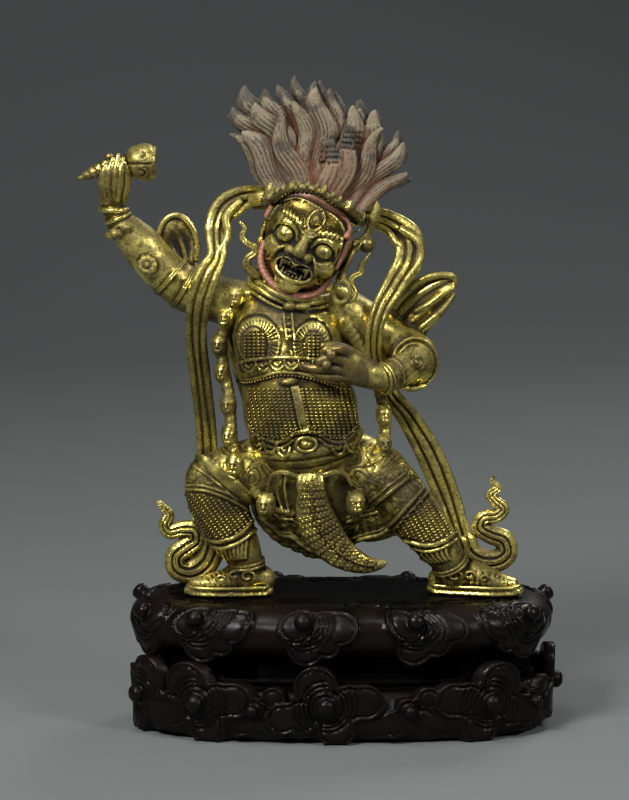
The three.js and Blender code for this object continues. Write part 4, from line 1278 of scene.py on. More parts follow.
@dataclass
class Hair:
    """The upswept hair: a fan of broad wavy flame locks in overlapping rows, combed into strands."""

    cell: float = 0.4
    root: tuple[float, float, float] = (-1.5, -1.0, 176.0)
    wave: float = 25.0
    sway: float = 2.9
    rows: tuple[Locks, ...] = (
        Locks((-40, -29.4, -18, -9, -1.7, 5.6, 12.6, 20.6, 30.6, 39.6, 49),
              (55.5, 61.4, 57.4, 59.4, 57, 53.4, 52.4, 50.6, 47.6, 43), 3.6, 2.9, 14, 1.5, 5.0),
        Locks((-45, -35, -24.5, -14.5, -5, 3.5, 12, 21, 30, 39.5, 48.5, 57),
              (50, 57, 57.5, 55, 57, 54.5, 52, 50, 48.5, 45, 40), 0.4, 2.8, 14.0, 1.5, 2.5),
        Locks((-43, -28, -14.5, -4, 8, 21, 33.5, 45.5, 57), (48, 54.5, 51, 55, 50, 51, 46.5, 40),
              -2.4, 2.5, 16.0, 1.5, 0.0))

    def at(self, angle: float, radius: float, depth: float, aside: float = 0.0) -> np.ndarray:
        """Returns the point of the fan at an angle in degrees, a radius and a depth, moved aside."""
        turn = math.radians(angle)
        up = np.array([math.sin(turn), 0.0, math.cos(turn)])
        return np.array(self.root) + radius * up + aside * np.array([up[2], 0, -up[0]]) + (0, depth, 0)

    def row(self, clay: Clay, locks: Locks, turn: float) -> None:
        """Lays one row of locks, waving together as they rise.

        Args:
            clay: the block.
            locks: the row.
            turn: where in the wave it starts, in turns.
        """
        window = clay.whole()
        cells, x, y, z = window
        # Every cell in terms of the fan: its radius, its angle after the sway, and the lock that it lies in.
        right, up = x - self.root[0], z - self.root[2]
        radius = np.sqrt(right ** 2 + up ** 2) + 1e-3
        share = np.clip(radius / 55, 0, 1.2)
        sway = self.sway * np.sin(math.tau * (radius / self.wave + turn)) * (0.35 + 0.65 * share)
        angle = np.degrees(np.arctan2(right, up)) + sway
        edges, tips = np.array(locks.edges, float), np.array(locks.tips, float)
        lock = np.clip(np.searchsorted(edges, angle) - 1, 0, len(tips) - 1)
        across = 2 * (angle - edges[lock]) / (edges[lock + 1] - edges[lock]) - 1
        # Each lock ends in a point that leans to one side, is combed lengthwise, and thins to its tip.
        lean = np.where(lock % 2 == 0, 0.3, -0.25)
        end = tips[lock] - locks.taper * np.abs((across - lean) / (1 + np.abs(lean))) ** locks.power
        comb = ridges((across + 1) * 3 + 0.15 * np.sin(radius * 0.4 + lock)) ** 1.4
        thinning = 1 - 0.6 * np.clip(1 - (end - radius) / 9, 0, 1) ** 2
        thick = (locks.thick * (1 - 0.42 * across ** 2) * (1.15 - 0.35 * share) - 0.6 * comb) * thinning
        # The front row is drawn forward near its root.
        dip = 2.2 if locks.depth < 0 else 0.0
        depth = self.root[1] + locks.depth - dip * np.exp(-((radius - 14) / 11) ** 2)
        shape = np.maximum(np.abs(y - depth) - thick, (radius - end) * 0.9)
        outside = np.maximum(edges[0] - angle, angle - edges[-1]) * radius * math.pi / 180
        shape = np.maximum(shape, np.maximum(outside, 8 - radius) * 0.9)
        clay.lay(cells, shape.astype(np.float32), 0.3)
        if locks.soot:
            clay.stain(window, Coat.SOOT, (radius > end - locks.soot) & (shape < clay.cell))

    def lock(self, clay: Clay, angle: float, tip: float, depth: float, width: float, end: float,
             phase: float, lines: int = 5, soot: float = 1.0) -> None:
        """Adds one free lock that waves as it rises and ends bluntly.

        Args:
            clay: the block.
            angle: where it stands in the fan, in degrees.
            tip: the radius that its tip reaches.
            depth: how far behind the root it stands; negative is in front.
            width: its half width at its fullest.
            end: its half width at the tip.
            phase: where in its wave it starts, in turns.
            lines: the strands that it is combed into.
            soot: the share of its length past which it is blackened.
        """
        stations = []
        for t in np.linspace(0, 1, 11):
            radius = 10 + (tip - 10) * t
            aside = (0.5 + 1.7 * t) * math.sin(math.tau * (radius / self.wave + phase))
            full = width * (0.8 + 0.25 * math.sin(math.pi * min(1, 1.1 * t)))
            wide = full + (end - full) * np.clip((t - 0.6) / 0.4, 0, 1) ** 1.6
            stations.append((*self.at(angle, radius, depth, aside), wide, 1.9 - 0.5 * t))

        def comb(s: np.ndarray, u: np.ndarray, v: np.ndarray) -> np.ndarray:
            """Parts the lock into its strands."""
            return 0.6 * ridges((u + 1) * 0.5 * lines) ** 1.5 * (np.abs(u) < 1.1)

        path, length = smooth_path(stations, 1.2)
        clay.stroke(path, blend=0.3, relief=comb, cap=0.55)
        tail = path[length >= soot * length[-1]]
        if len(tail) > 1:
            clay.stroke(
                tail + np.array([0, 0, 0, 0.06, 0.06]), blend=0.05, relief=comb, cap=0.55, coat=Coat.SOOT)

    def cuts(self, clay: Clay, angle: float, radius: float, depth: float, half: float) -> None:
        """Cuts the short lines across the blackened end of a front lock."""
        for step in range(4):
            across = [self.at(angle, radius + 1.9 * step + 0.2 * aside, depth, aside) + (0, -6, 0)
                      for aside in np.linspace(-half, half, 5)]
            points = clay.land(np.array(across), BACKWARD)
            clay.stroke([(*p, 0.5) for p in points], blend=0.1, cut=True)

    def build(self) -> None:
        """Builds the hair."""
        clay = Clay((-37, -18, 178), (34, 11, 240), self.cell, Coat.HAIR)
        clay.ball(self.at(6, 18, 1), (15, 7, 15), turned(0, 12, 0), blend=1)
        for turn, locks in zip((0.0, 0.1, 0.2), self.rows):
            self.row(clay, locks, turn)
        self.lock(clay, -19, 50, -4.6, 3.6, 0.9, 0.30)
        self.lock(clay, 30, 46, -4.6, 3.4, 1.0, 0.1)
        for angle, tip, depth in ((7.0, 36, -8.6), (17.5, 42.5, -8.0)):
            self.lock(clay, angle, tip, depth, 3.6, 2.5, 0.16, lines=4, soot=0.74)
            self.cuts(clay, angle, tip - 7.4, depth, 2.9)
        clay.piece("figure_hair", 0.32)


@dataclass
class Trunk:
    """The torso in its armour of mail, plates, bands and belt, over the robe."""

    cell: float = 0.34
    mail: StudField = field(default_factory=lambda: StudField("figure_body_mail", 0.8, 0.62, 0.66))
    beads: BeadLines = field(default_factory=lambda: BeadLines("figure_body_beads", 1.35, 0.62))
    body: Rows = (
        (-4.5, -3, 93, 12, 10), (-5.4, -5.4, 100.4, 17, 16), (-5.8, -6, 103, 19.4, 18.2),
        (-6, -6.2, 104.8, 20.8, 19.7), (-6.4, -6.4, 106.8, 19.7, 18.5), (-8.2, -6.5, 115, 20.7, 19.6),
        (-10.4, -5.8, 125, 19.2, 18), (-11, -5.4, 129.4, 18.8, 16.8), (-11.4, -5.2, 131.4, 19.6, 17.4),
        (-11.8, -5, 133.6, 19.2, 16.8), (-13.3, -3.4, 143.5, 19.6, 15.8), (-13.2, -2.4, 151.5, 17.2, 13.2),
        (-12.6, -3, 155.4, 14.6, 11.8), (-12.2, -3.6, 157.4, 14.8, 12.2), (-11.5, -3.6, 160.4, 11, 9))
    robe: Rows = (
        (-8, 7, 94, 19, 6), (-9, 7.5, 112, 19, 6), (-11, 6, 130, 22, 6.5), (-12, 5, 143, 26, 7.5),
        (-12, 4, 152, 25.5, 8), (-11, 3, 160, 14, 7))

    def breast(self, clay: Clay, middle: Point, half: Point, hole: Point, flutes: int) -> None:
        """Models one breast plate: a fluted arch round an oval of mail."""
        x, z = middle
        centre = clay.seen([middle], -1.6)[0]
        clay.ball(centre, (half[0], 3.6, half[1]), turned(0, 0, -12), blend=1.2)
        low = (x - half[0] - 2, -40, z - half[1] - 6)
        high = (x + half[0] + 2, -6, z + half[1] + 6)
        height = centre[2]

        def chase(px: np.ndarray, py: np.ndarray, pz: np.ndarray) -> np.ndarray:
            """Cuts radial flutes between the oval and the rim, and a line round each."""
            across, up = px - x, pz - height
            rim = np.sqrt((across / half[0]) ** 2 + (up / half[1]) ** 2)
            inner = np.sqrt(((px - hole[0]) / hole[2]) ** 2 + ((pz - height - (hole[1] - z)) / hole[3]) ** 2)
            turn = np.arctan2(up / half[1], across / half[0])
            band = np.clip((inner - 1.02) * 9, 0, 1) * np.clip((0.93 - rim) * 9, 0, 1)
            cut = 0.5 * band * ridges(turn * flutes / math.tau)
            cut = cut + 0.45 * groove(rim - 1.0, 0.07) + 0.5 * groove(inner - 1.0, 0.1)
            return (cut - 0.25 * groove(rim - 0.93, 0.08) * (rim > 0.8)) * (py < -8)

        clay.press(low, high, chase)
        self.patch(clay, (hole[0], hole[1]), (hole[2] * 0.92, hole[3] * 0.92), (1.62, 1.24))

    def patch(self, clay: Clay, middle: Point, half: Point, pitch: Point) -> None:
        """Fills an oval with upright rows of mail studs."""
        rows = np.arange(-half[1], half[1], pitch[1])
        columns = np.arange(-int(half[0] / pitch[0]), int(half[0] / pitch[0]) + 1) * pitch[0]
        spots = [(middle[0] + c, middle[1] + r) for c in columns for r in rows
                 if (c / half[0]) ** 2 + (r / half[1]) ** 2 < 1]
        points = clay.seen(spots, 0.05)
        self.mail.add(points, clay.normals(points), UP)
        centre = points.mean(0)
        reach = np.array([half[0] + 1, 6, half[1] + 1])
        window = clay.window(centre - reach, centre + reach)
        _, x, _, z = window
        oval = ((x - centre[0]) / (half[0] + 0.7)) ** 2 + ((z - centre[2]) / (half[1] + 0.6)) ** 2
        clay.stain(window, Coat.GROUND, oval < 1)

    def belly_mail(self, clay: Clay) -> None:
        """Covers the belly with leaning columns of mail on either side of its plain middle band."""
        spots = []
        for column in range(-17, 17):
            for row in range(18):
                z = 121.8 - MAIL_ROW * row
                x = -9.6 + MAIL_COLUMN * column + 0.20 * (122 - z) + 0.1 * math.sin(z)
                centre, half = -8.6 + 0.11 * (122 - z), 19.2
                band = -10.3 + 0.2 * (122 - z)
                arch = 102.6 + 3.2 * math.exp(-((x + 6) / 8.0) ** 2) + 0.06 * max(abs(x + 7.4) - 12, 0) ** 2
                if abs(x - centre) < half and abs(x - band) > 1.9 and z > arch:
                    spots.append((x, z))
        points = clay.seen(spots, 0.05)
        self.mail.add(points, clay.normals(points), (0.15, 0, -1))
        near = clay.seen([(x, z) for x in np.arange(-30, 14, 1.2) for z in np.arange(100, 125, 1.2)])
        gap = np.sqrt(((near[:, None, :] - points[None]) ** 2).sum(2)).min(1)
        for spot in near[gap < 1.7]:
            clay.stain(clay.window(spot - 1.2, spot + 1.2), Coat.GROUND)
        seam = ((-10.2, 122.6), (-8.8, 116), (-7.6, 110), (-6.6, 106.4))
        clay.line(seam, 1.5, 0.0, 0.6)
        for aside in (-1.3, 1.3):
            clay.line([(x + aside, z) for x, z in seam], 0.32)

    def collar(self, clay: Clay) -> None:
        """Lays the collar's bands, its clasp and the buttoned strip below."""
        lower = [
            (-27.4, 158.7), (-23.4, 155.8), (-19.7, 153.3), (-13.8, 150.8), (-9, 150.6), (-4.2, 151.0),
            (2.8, 152.6)]
        upper = [(x + 0.6, z + 2.1) for x, z in lower]
        clay.line(lower, 0.75)
        clay.line(upper, 0.75)
        clay.line([(-25.4, 162.2), (-20, 158.4), (-14, 155.4), (-8, 154.6), (0, 155.2), (3, 156.6)], 1.25)
        clasp = clay.seen([(-12.2, 152.0)], 0.5)[0]
        clay.ball(clasp, (2.4, 1.5, 1.6), blend=0.3)
        clay.ball(clasp + np.array([4.8, 0.1, -0.1]), (2.9, 1.3, 1.35), turned(0, -4, 0), blend=0.3)
        clay.line([(-14.3, 149.6), (-13.9, 145), (-13.2, 139.8)], 0.45)
        clay.line([(-11.3, 149.4), (-10.9, 145), (-10.4, 139.8)], 0.45)
        for z in (147.9, 145.6, 143.3, 141.0):
            clay.ball(clay.seen([(-12.6 + 0.08 * (148 - z), z)], 0.2)[0], (0.85, 0.8, 0.85), blend=0.1)

    def bands(self, clay: Clay) -> None:
        """Lays the scalloped band under the breast, the corded edge and the jewel."""
        top = [
            (-31.5, 131.2), (-27, 132.4), (-20, 133.2), (-12, 133.4), (-4, 132.9), (3, 131.6), (7.6, 129.6)]
        low = [(-31, 126.2), (-27.8, 125.4), (-22, 126.6), (-16, 128), (-8.6, 127.6), (-2, 126), (5, 123.6)]
        clay.line(top, 0.6)
        clay.line(low, 0.55)
        self.beads.add(clay.seen(smooth_path([(x, 0, z - 1.3) for x, z in low], 1)[0][:, [0, 2]], 0.3))
        for i in range(7):
            share = (i + 0.5) / 7
            x = -29.5 + 36 * share
            lift = 4.0 * share * (1 - share)
            scallop = [(x - 2.5, 131.8 - 0.6 + lift), (x - 1.9, 129.2 + lift), (x, 128.0 + lift),
                       (x + 1.9, 129.2 + lift), (x + 2.5, 131.2 + lift)]
            clay.line(scallop, 0.4)
            clay.line([(x - 1.2, 130.6 + lift), (x, 129.6 + lift), (x + 1.2, 130.6 + lift)], 0.34)
        jewel = clay.seen([(-12.3, 124.6)], 0.3)[0]
        clay.ball(jewel, (3.1, 1.4, 1.4), turned(0, -6, 0), blend=0.2)

    def belt(self, clay: Clay) -> None:
        """Lays the arch, the oval buckle, the corded belt and the scalloped lower edge."""
        arch = [
            (-27.0, 109.0), (-25.4, 106.2), (-22.6, 104.2), (-17.6, 102.6), (-13.6, 103.4), (-10.6, 105.7),
            (-6.2, 106.4), (-1.8, 105.8), (1.4, 103.4), (5.4, 102.4), (9.0, 103.6), (11.6, 106.4)]
        clay.line(arch, 0.8)
        clay.line([(x, z - 2.1) for x, z in arch[2:-2]], 0.65)
        self.beads.add(clay.seen(smooth_path([(x, 0, z + 1.5) for x, z in arch], 1)[0][:, [0, 2]], 0.3))
        buckle = clay.seen([(-6.2, 101.8)], 0.5)[0]
        clay.ball(buckle, (4.4, 1.3, 3.1), blend=0.3)
        clay.stroke(
            ring(buckle + np.array([0, -1.1, 0.1]), facing_axes((0, -1, 0.1)), 3.7, 2.5, 0.62), blend=0.1)
        clay.ball(buckle + np.array([0, -1.3, 0.1]), (2.0, 1.1, 1.2), blend=0.05)
        for i in range(8):
            x = -24 + 4.9 * i
            z = 99.0 - 4.4 * math.exp(-((x + 5.5) / 8.5) ** 2) + 0.06 * abs(x + 5)
            if abs(x + 5) > 6:
                lobe = [
                    (x - 2.2, z + 2.4), (x - 1.5, z + 0.2), (x, z - 0.7), (x + 1.5, z + 0.2),
                    (x + 2.2, z + 2.4)]
                clay.line(lobe, 0.65)
                clay.line([(x - 0.9, z + 2.2), (x, z + 1.2), (x + 0.9, z + 2.2)], 0.4)

    @staticmethod
    def folds(s: np.ndarray, u: np.ndarray, v: np.ndarray) -> np.ndarray:
        """Cuts the hanging folds of the robe."""
        return 0.7 * ridges(u * 3.4 + 0.25 * np.sin(s * 0.12)) ** 2

    def build(self) -> None:
        """Builds the trunk."""
        clay = Clay((-44, -33, 84), (22, 19, 168), self.cell)
        clay.stroke(self.robe, relief=self.folds, cap=0.4, blend=1)
        clay.stroke(self.body, cap=0.3, blend=1.5)
        self.breast(clay, (-23.2, 139.4), (8.2, 9.2), (-24.9, 138.0, 4.8, 6.7), 34)
        self.breast(clay, (-4.2, 138.2), (7.0, 8.6), (-3.5, 137.4, 3.7, 5.9), 30)
        self.collar(clay)
        self.bands(clay)
        self.belt(clay)
        self.belly_mail(clay)
        clay.piece("figure_trunk")
        self.mail.piece()
        self.beads.piece()


@dataclass
class RaisedArm:
    """The raised right arm: sleeve, cuff, hand and the hilt whose blade is lost."""

    cell: float = 0.3
    sleeve: Rows = (
        (-26, 2, 152, 8.5, 8), (-36, 0.6, 154, 8.5, 8.4), (-47, -0.5, 157.5, 8.5, 8.4),
        (-53, -1.6, 161.4, 7.9, 8), (-59, -2.5, 167, 7.7, 7.8), (-65.4, -3.4, 174.8, 7.3, 7.3),
        (-70, -4, 179.8, 5.6))
    wrist: Rows = (
        (-70, -4, 179.8, 5.2), (-71.8, -4.2, 181.8, 5.0), (-73, -4.3, 183.6, 4.6),
        (-74.4, -4.5, 186.6, 4.0), (-74.9, -4.6, 189, 3.9), (-74.6, -4.6, 194, 4.8, 3.8),
        (-74.2, -4.4, 200, 4.4, 3.2))

    def arm(self, clay: Clay) -> None:
        """Models the sleeve with its seams, bosses and lappet, and the scrolled cuff."""
        clay.stroke(self.sleeve, blend=1)
        seams = (((-54.6, -1.8, 163.4), (-0.75, 0, 0.66), 8.5), ((-49.6, -0.8, 159.6), (-0.85, 0, 0.5), 8.9))
        for at, toward, radius in seams:
            axes = facing_axes(toward)
            for shift in (-0.45, 0.45):
                clay.stroke(
                    ring(np.asarray(at) + shift * unit(toward), axes, radius, radius, 0.36), blend=0.15)
        centre = clay.land(np.array([[-62.6, -20.0, 168.2]]), BACKWARD, 0.3)[0]
        self.boss(clay, centre)
        self.lappet(clay)
        clay.stroke(self.wrist, blend=0.8)
        axes = facing_axes((-0.5, 0, 0.87))
        for i in range(6):
            turn = math.tau * (i + 0.4) / 6
            spot = np.array([-71.4, -4.2, 180.6]) + axes @ (4.7 * math.cos(turn), 4.7 * math.sin(turn), 0)
            clay.ball(spot, (2.5, 2.3, 1.7), blend=0.9)
        clay.stroke(ring((-72.3, -4.2, 182.3), axes, 4.9, 4.8, 0.5), blend=0.3)
        for at, toward, wide, tall, radius in (((-73.2, -4.3, 184.4), (-0.35, 0, 0.94), 4.6, 4.5, 0.75),
                                               ((-74.6, -4.6, 187.4), (-0.3, 0, 0.95), 4.7, 4.3, 0.95)):
            clay.stroke(ring(at, facing_axes(toward), wide, tall, radius), blend=0.2)

    def boss(self, clay: Clay, at: np.ndarray) -> None:
        """Sets the petalled boss on the sleeve."""
        radius, height, petals = 3.7, 1.5, 9
        axes = facing_axes((-0.15, -1, 0.1))
        clay.ball(at, (radius, radius, height * 0.8), axes, blend=0.3)
        for i in range(petals):
            turn = math.tau * i / petals
            place = (0.66 * radius * math.cos(turn), 0.66 * radius * math.sin(turn), height * 0.5)
            clay.ball(at + axes @ place, (0.34 * radius, 0.34 * radius, height * 0.55), axes, blend=0.1)
        clay.ball(at + axes @ (0, 0, height * 0.75), 0.34 * radius, blend=0.1)

    def lappet(self, clay: Clay) -> None:
        """Models the curled cloth lappet behind the sleeve, hollow inside a rolled rim."""
        axes = turned(0, -10, 0)
        middle = np.array([-52.0, 3.6, 174.2])
        clay.ball(middle, (7.6, 3.4, 11.4), axes, blend=1)
        clay.ball(middle + (0.4, -4.0, 0.4), (6.1, 1.9, 9.7), axes, blend=0.5, cut=True, coat=Coat.BROWN)
        rim = [(*(middle + axes @ (6.9 * math.cos(t), -2.2, 10.6 * math.sin(t))), 1.05)
               for t in np.linspace(-0.6, math.pi + 0.7, 18)]
        clay.stroke(rim, blend=0.4)
        for lean in (-3.2, 0.2, 3.4):
            fold = [
                (*(middle + axes @ (lean, -1.5, 7.0)), 0.5),
                (*(middle + axes @ (lean * 1.2 + 1.0, -1.9, 0)), 0.9),
                (*(middle + axes @ (lean * 0.5 + 1.6, -2.4, -8.4)), 1.3)]
            clay.stroke(fold, blend=0.6, coat=Coat.BROWN)

    def hand(self, clay: Clay) -> None:
        """Models the long pointed fingers that rise round the grip, and the thumb behind them."""
        palm = [(-74.9, -4.6, 188, 3.7, 3.4), (-75.4, -5.0, 193, 4.7, 3.6), (-75.2, -5.4, 198.5, 4.8, 3.4),
                (-74.6, -5.4, 203, 3.4, 2.6)]
        clay.stroke(palm, blend=0.8)
        for foot, knuckle, tip, top in ((-76.8, -78.4, -76.8, 203.8), (-75.6, -76.4, -74.8, 206.0),
                                        (-74.6, -74.2, -72.8, 207.2), (-73.4, -72.2, -71.0, 206.0)):
            clay.stroke([
                (foot, -7.4, 190.4, 1.1), (knuckle, -9.2, 197.0, 1.5), (knuckle + 0.5, -9.8, 201.6, 1.35),
                (tip, -8.8, top, 0.8)], blend=0.1)
        clay.stroke([(-71.8, -5.4, 190.4, 1.8), (-70.0, -8.0, 195.6, 1.6), (-69.6, -9.4, 200.4, 1.3),
                     (-70.4, -10.0, 204.6, 0.7)], blend=0.25)
        clay.ball((-76.2, -5.6, 206.4), (1.7, 1.6, 1.3), blend=0.2, coat=Coat.BROWN)

    def hilt(self, clay: Clay) -> None:
        """Models the twisted grip and the engraved pommel of the lost sword."""
        start, end = np.array([-87.0, -5.0, 198.4]), np.array([-76.6, -5.0, 203.0])
        grip = [(*start, 0.9), (*(start + (end - start) * 0.5), 2.3), (*end, 3.0)]
        clay.stroke(grip, relief=twisted(2.5, 0.6, 2.5), blend=0.1, cap=0.7)
        clay.stroke([(-77, -5, 202.8, 2.4), (-69.8, -5, 203.9, 3.0)])
        pommel = [
            (-69.6, -5, 203.9, 3.6), (-68.2, -5, 204.1, 5.6), (-66, -5, 204.2, 6.5),
            (-63.4, -5, 204.3, 6.9), (-61.4, -5, 204.4, 6.5), (-60.6, -5, 204.5, 6.1)]
        clay.stroke(pommel, blend=0.3, cap=0.15)
        clay.stroke(
            [(-69.6, -9.6, 204.2, 0.4), (-65, -11.6, 204.3, 0.45), (-60.8, -11.2, 204.4, 0.4)], blend=0.2,
            cut=True)
        for up, size in ((3.5, 2.9), (-3.4, 2.8)):
            for radius in (size, size * 0.5):
                clay.stroke(
                    ring(
                        (-65.0, -10.7, 204.3 + up), facing_axes((0, -1, 0.55 * np.sign(up))), radius * 1.25,
                        radius, 0.42),
                    blend=0.15, cut=True)
        for size, radius in ((4.9, 0.7), (2.2, 0.6)):
            clay.stroke(ring((-60.2, -5, 204.4), facing_axes((1, 0, 0)), size, size, radius), blend=0.2)

    def build(self) -> None:
        """Builds the raised arm."""
        clay = Clay((-91, -16, 140), (-14, 15, 214), self.cell)
        self.arm(clay)
        self.hand(clay)
        self.hilt(clay)
        clay.piece("figure_raised_arm")


@dataclass
class BentArm:
    """The lowered left arm: shoulder, flaring sleeve, elbow cuff and the hand with its jewels."""

    cell: float = 0.3
    limb: Rows = (
        (-1, 2, 151, 9, 9.5), (6, 1.8, 149.4, 9, 9.5), (12, 2, 146.4, 8.8, 9), (23, 1.6, 140, 8, 8.4),
        (31, -0.6, 135.2, 7.8, 8.8), (33.6, -6.0, 132.8, 7.2, 8.6), (29.4, -11, 131.3, 6.0, 6.4),
        (25, -14.4, 129.4, 4.9, 5.2), (21, -17.8, 128.6, 4.2, 4.6), (16.4, -20.8, 130.2, 3.9, 5.0))
    upper_petal: Rows = (
        (23, 3.6, 141, 4.6, 2.6), (27.4, 3.4, 147.4, 5.4, 2.5), (33, 3, 153.6, 6.4, 2.4),
        (39, 2.8, 158.0, 5.6, 2.3), (43.6, 2.6, 160.4, 3.4, 2.0), (46.6, 2.6, 161.2, 1.4, 1.4))
    lower_petal: Rows = (
        (27, 2.6, 138, 4.2, 2.4), (32.4, 2.2, 143.6, 4.4, 2.3), (37.6, 2, 148.6, 4.2, 2.2),
        (42, 1.8, 152.6, 3.0, 2.0), (45.8, 1.8, 156.0, 1.2, 1.4))
    lips: tuple[Rows, ...] = ((
        (31, 0.2, 158.2, 0.9), (34.6, 0.2, 161.4, 1.2), (39.4, 0.4, 162.8, 1.3), (44.6, 0.8, 163.2, 1.2),
        (47.2, 1.4, 161.4, 1.0), (46.6, 1.6, 158.8, 0.9)),
        ((33, -0.4, 150.4, 0.8), (37.6, -0.6, 152.6, 1.2), (42.2, -0.2, 156.0, 1.1),
         (46.4, 0.8, 158.4, 0.9)),
        ((35, -0.4, 144.4, 0.9), (39.6, -0.2, 148.0, 1.2), (43.8, 0.2, 151.6, 1.1), (46.8, 1, 155.6, 0.8)))

    def arm(self, clay: Clay) -> None:
        """Models the upper arm, the elbow cuff with its boss and the gauntlet's rings."""
        clay.stroke(self.limb, facing=UP, blend=1)
        middle = np.array([32.6, -5.6, 133.0])
        clay.ball(middle, (8.2, 8.6, 9.2), blend=1)
        axes = turned(0, 0, 6) @ facing_axes(OUT)
        for size in (1.0, 0.8):
            front = middle + (0, -7.6 * (1.08 - 0.5 * size ** 2), 0)
            clay.stroke(ring(front, axes, 8.1 * size, 8.9 * size, 0.62), blend=0.3)
        clay.stroke([(26.0, -13, 125.4, 0.9), (31, -13.2, 124.0, 1.0), (36.4, -12, 125.0, 0.9)], blend=0.4)
        spot = clay.land(np.array([[33.0, -30.0, 134.2]]), BACKWARD, 0.2)[0]
        for turn in (0, 120, 240):
            away = math.radians(turn + 90)
            petal = spot + (1.7 * math.cos(away), 0, 1.7 * math.sin(away))
            clay.ball(petal, (1.35, 1.1, 1.35), blend=0.1)
            clay.stroke(ring(petal + (0, -0.4, 0), facing_axes(OUT), 1.5, 1.5, 0.3, 10), blend=0.05)
        clay.ball(spot + (0, -0.6, 0), 0.9, blend=0.1)
        toward = (-0.75, -0.65, -0.2)
        for at in ((26.0, -13.6, 129.9), (21.4, -17.4, 128.5)):
            for shift in (-0.8, 0.8):
                band = np.array(at) + shift * unit(toward)
                clay.stroke(ring(band, facing_axes(toward), 5.0, 5.3, 0.6), blend=0.2)

    def hand(self, clay: Clay) -> None:
        """Models the flat-backed hand, its curled fingers and the two jewels it holds."""
        back = [(18.6, -19.6, 129.6, 3.2, 4.4), (14.4, -22, 131.6, 3.0, 5.6), (9.6, -24.4, 133.8, 3.0, 6.0),
                (4.6, -26.2, 135.4, 2.6, 5.2)]
        clay.stroke(back, facing=UP, blend=0.8, coat=Coat.BROWN)
        fingers = ((
            (8.6, -25.6, 138.8, 1.7), (5.2, -28.2, 140.6, 1.6), (1.0, -29.9, 140.8, 1.4),
            (-0.6, -29.8, 139.6, 1.0)),
            ((6.6, -27.0, 136.2, 1.7), (2.2, -29.9, 137.6, 1.6), (-1.6, -30.4, 136.6, 1.4),
             (-1.8, -29.6, 135.0, 1.0)),
            ((6.0, -27.0, 132.8, 1.7), (1.2, -29.2, 133.8, 1.6), (-3.4, -29.4, 133.8, 1.4),
             (-7.4, -29.0, 134.8, 0.9)),
            ((8.4, -25.6, 129.8, 1.6), (3.6, -27.6, 130.4, 1.5), (-1.2, -28.2, 131.0, 1.3),
             (-4.6, -28.2, 132.6, 0.8)))
        for finger in fingers:
            clay.stroke(finger, facing=UP, blend=0.3, coat=Coat.BROWN)
        clay.stroke([
            (13, -21.6, 136, 2.0), (8.4, -23.8, 139.6, 1.8), (3.6, -26, 141.6, 1.5),
            (-0.4, -27.6, 141.8, 1.0)], facing=UP, blend=0.4, coat=Coat.BROWN)
        clay.stroke([(17.6, -21.4, 133.6, 0.7), (12, -24.2, 136.6, 0.7), (7.6, -26, 138.6, 0.6)], blend=0.3)
        for jewel, radius in (((2.6, -30.6, 139.0), 2.0), ((1.0, -30.8, 135.2), 1.9)):
            clay.ball(jewel, radius, blend=0.05, coat=Coat.BROWN)

    @staticmethod
    def folded(s: np.ndarray, u: np.ndarray, v: np.ndarray) -> np.ndarray:
        """Cuts a petal's two folds, and raises its rolled rim."""
        return (0.95 * groove(u - 0.22, 0.2) + 0.8 * groove(u + 0.38, 0.16)
                - 0.45 * groove(np.abs(u) - 0.84, 0.16))

    def flares(self, clay: Clay) -> None:
        """Models the sleeve's two flaring petals behind the shoulder, folded and rolled at the rim."""
        facing = (-0.25, -0.95, 0.15)
        for petal in (self.upper_petal, self.lower_petal):
            clay.stroke(petal, facing=facing, blend=0.5, proud=0.5, flat=True, relief=self.folded)
        for lip in self.lips:
            clay.stroke(lip, blend=0.5)

    def build(self) -> None:
        """Builds the lowered arm."""
        clay = Clay((-14, -36, 118), (54, 15, 168), self.cell)
        self.flares(clay)
        self.arm(clay)
        clay.chase((24, -30, 123), (41, -6, 142), 0.24)
        self.hand(clay)
        clay.piece("figure_lowered_arm")


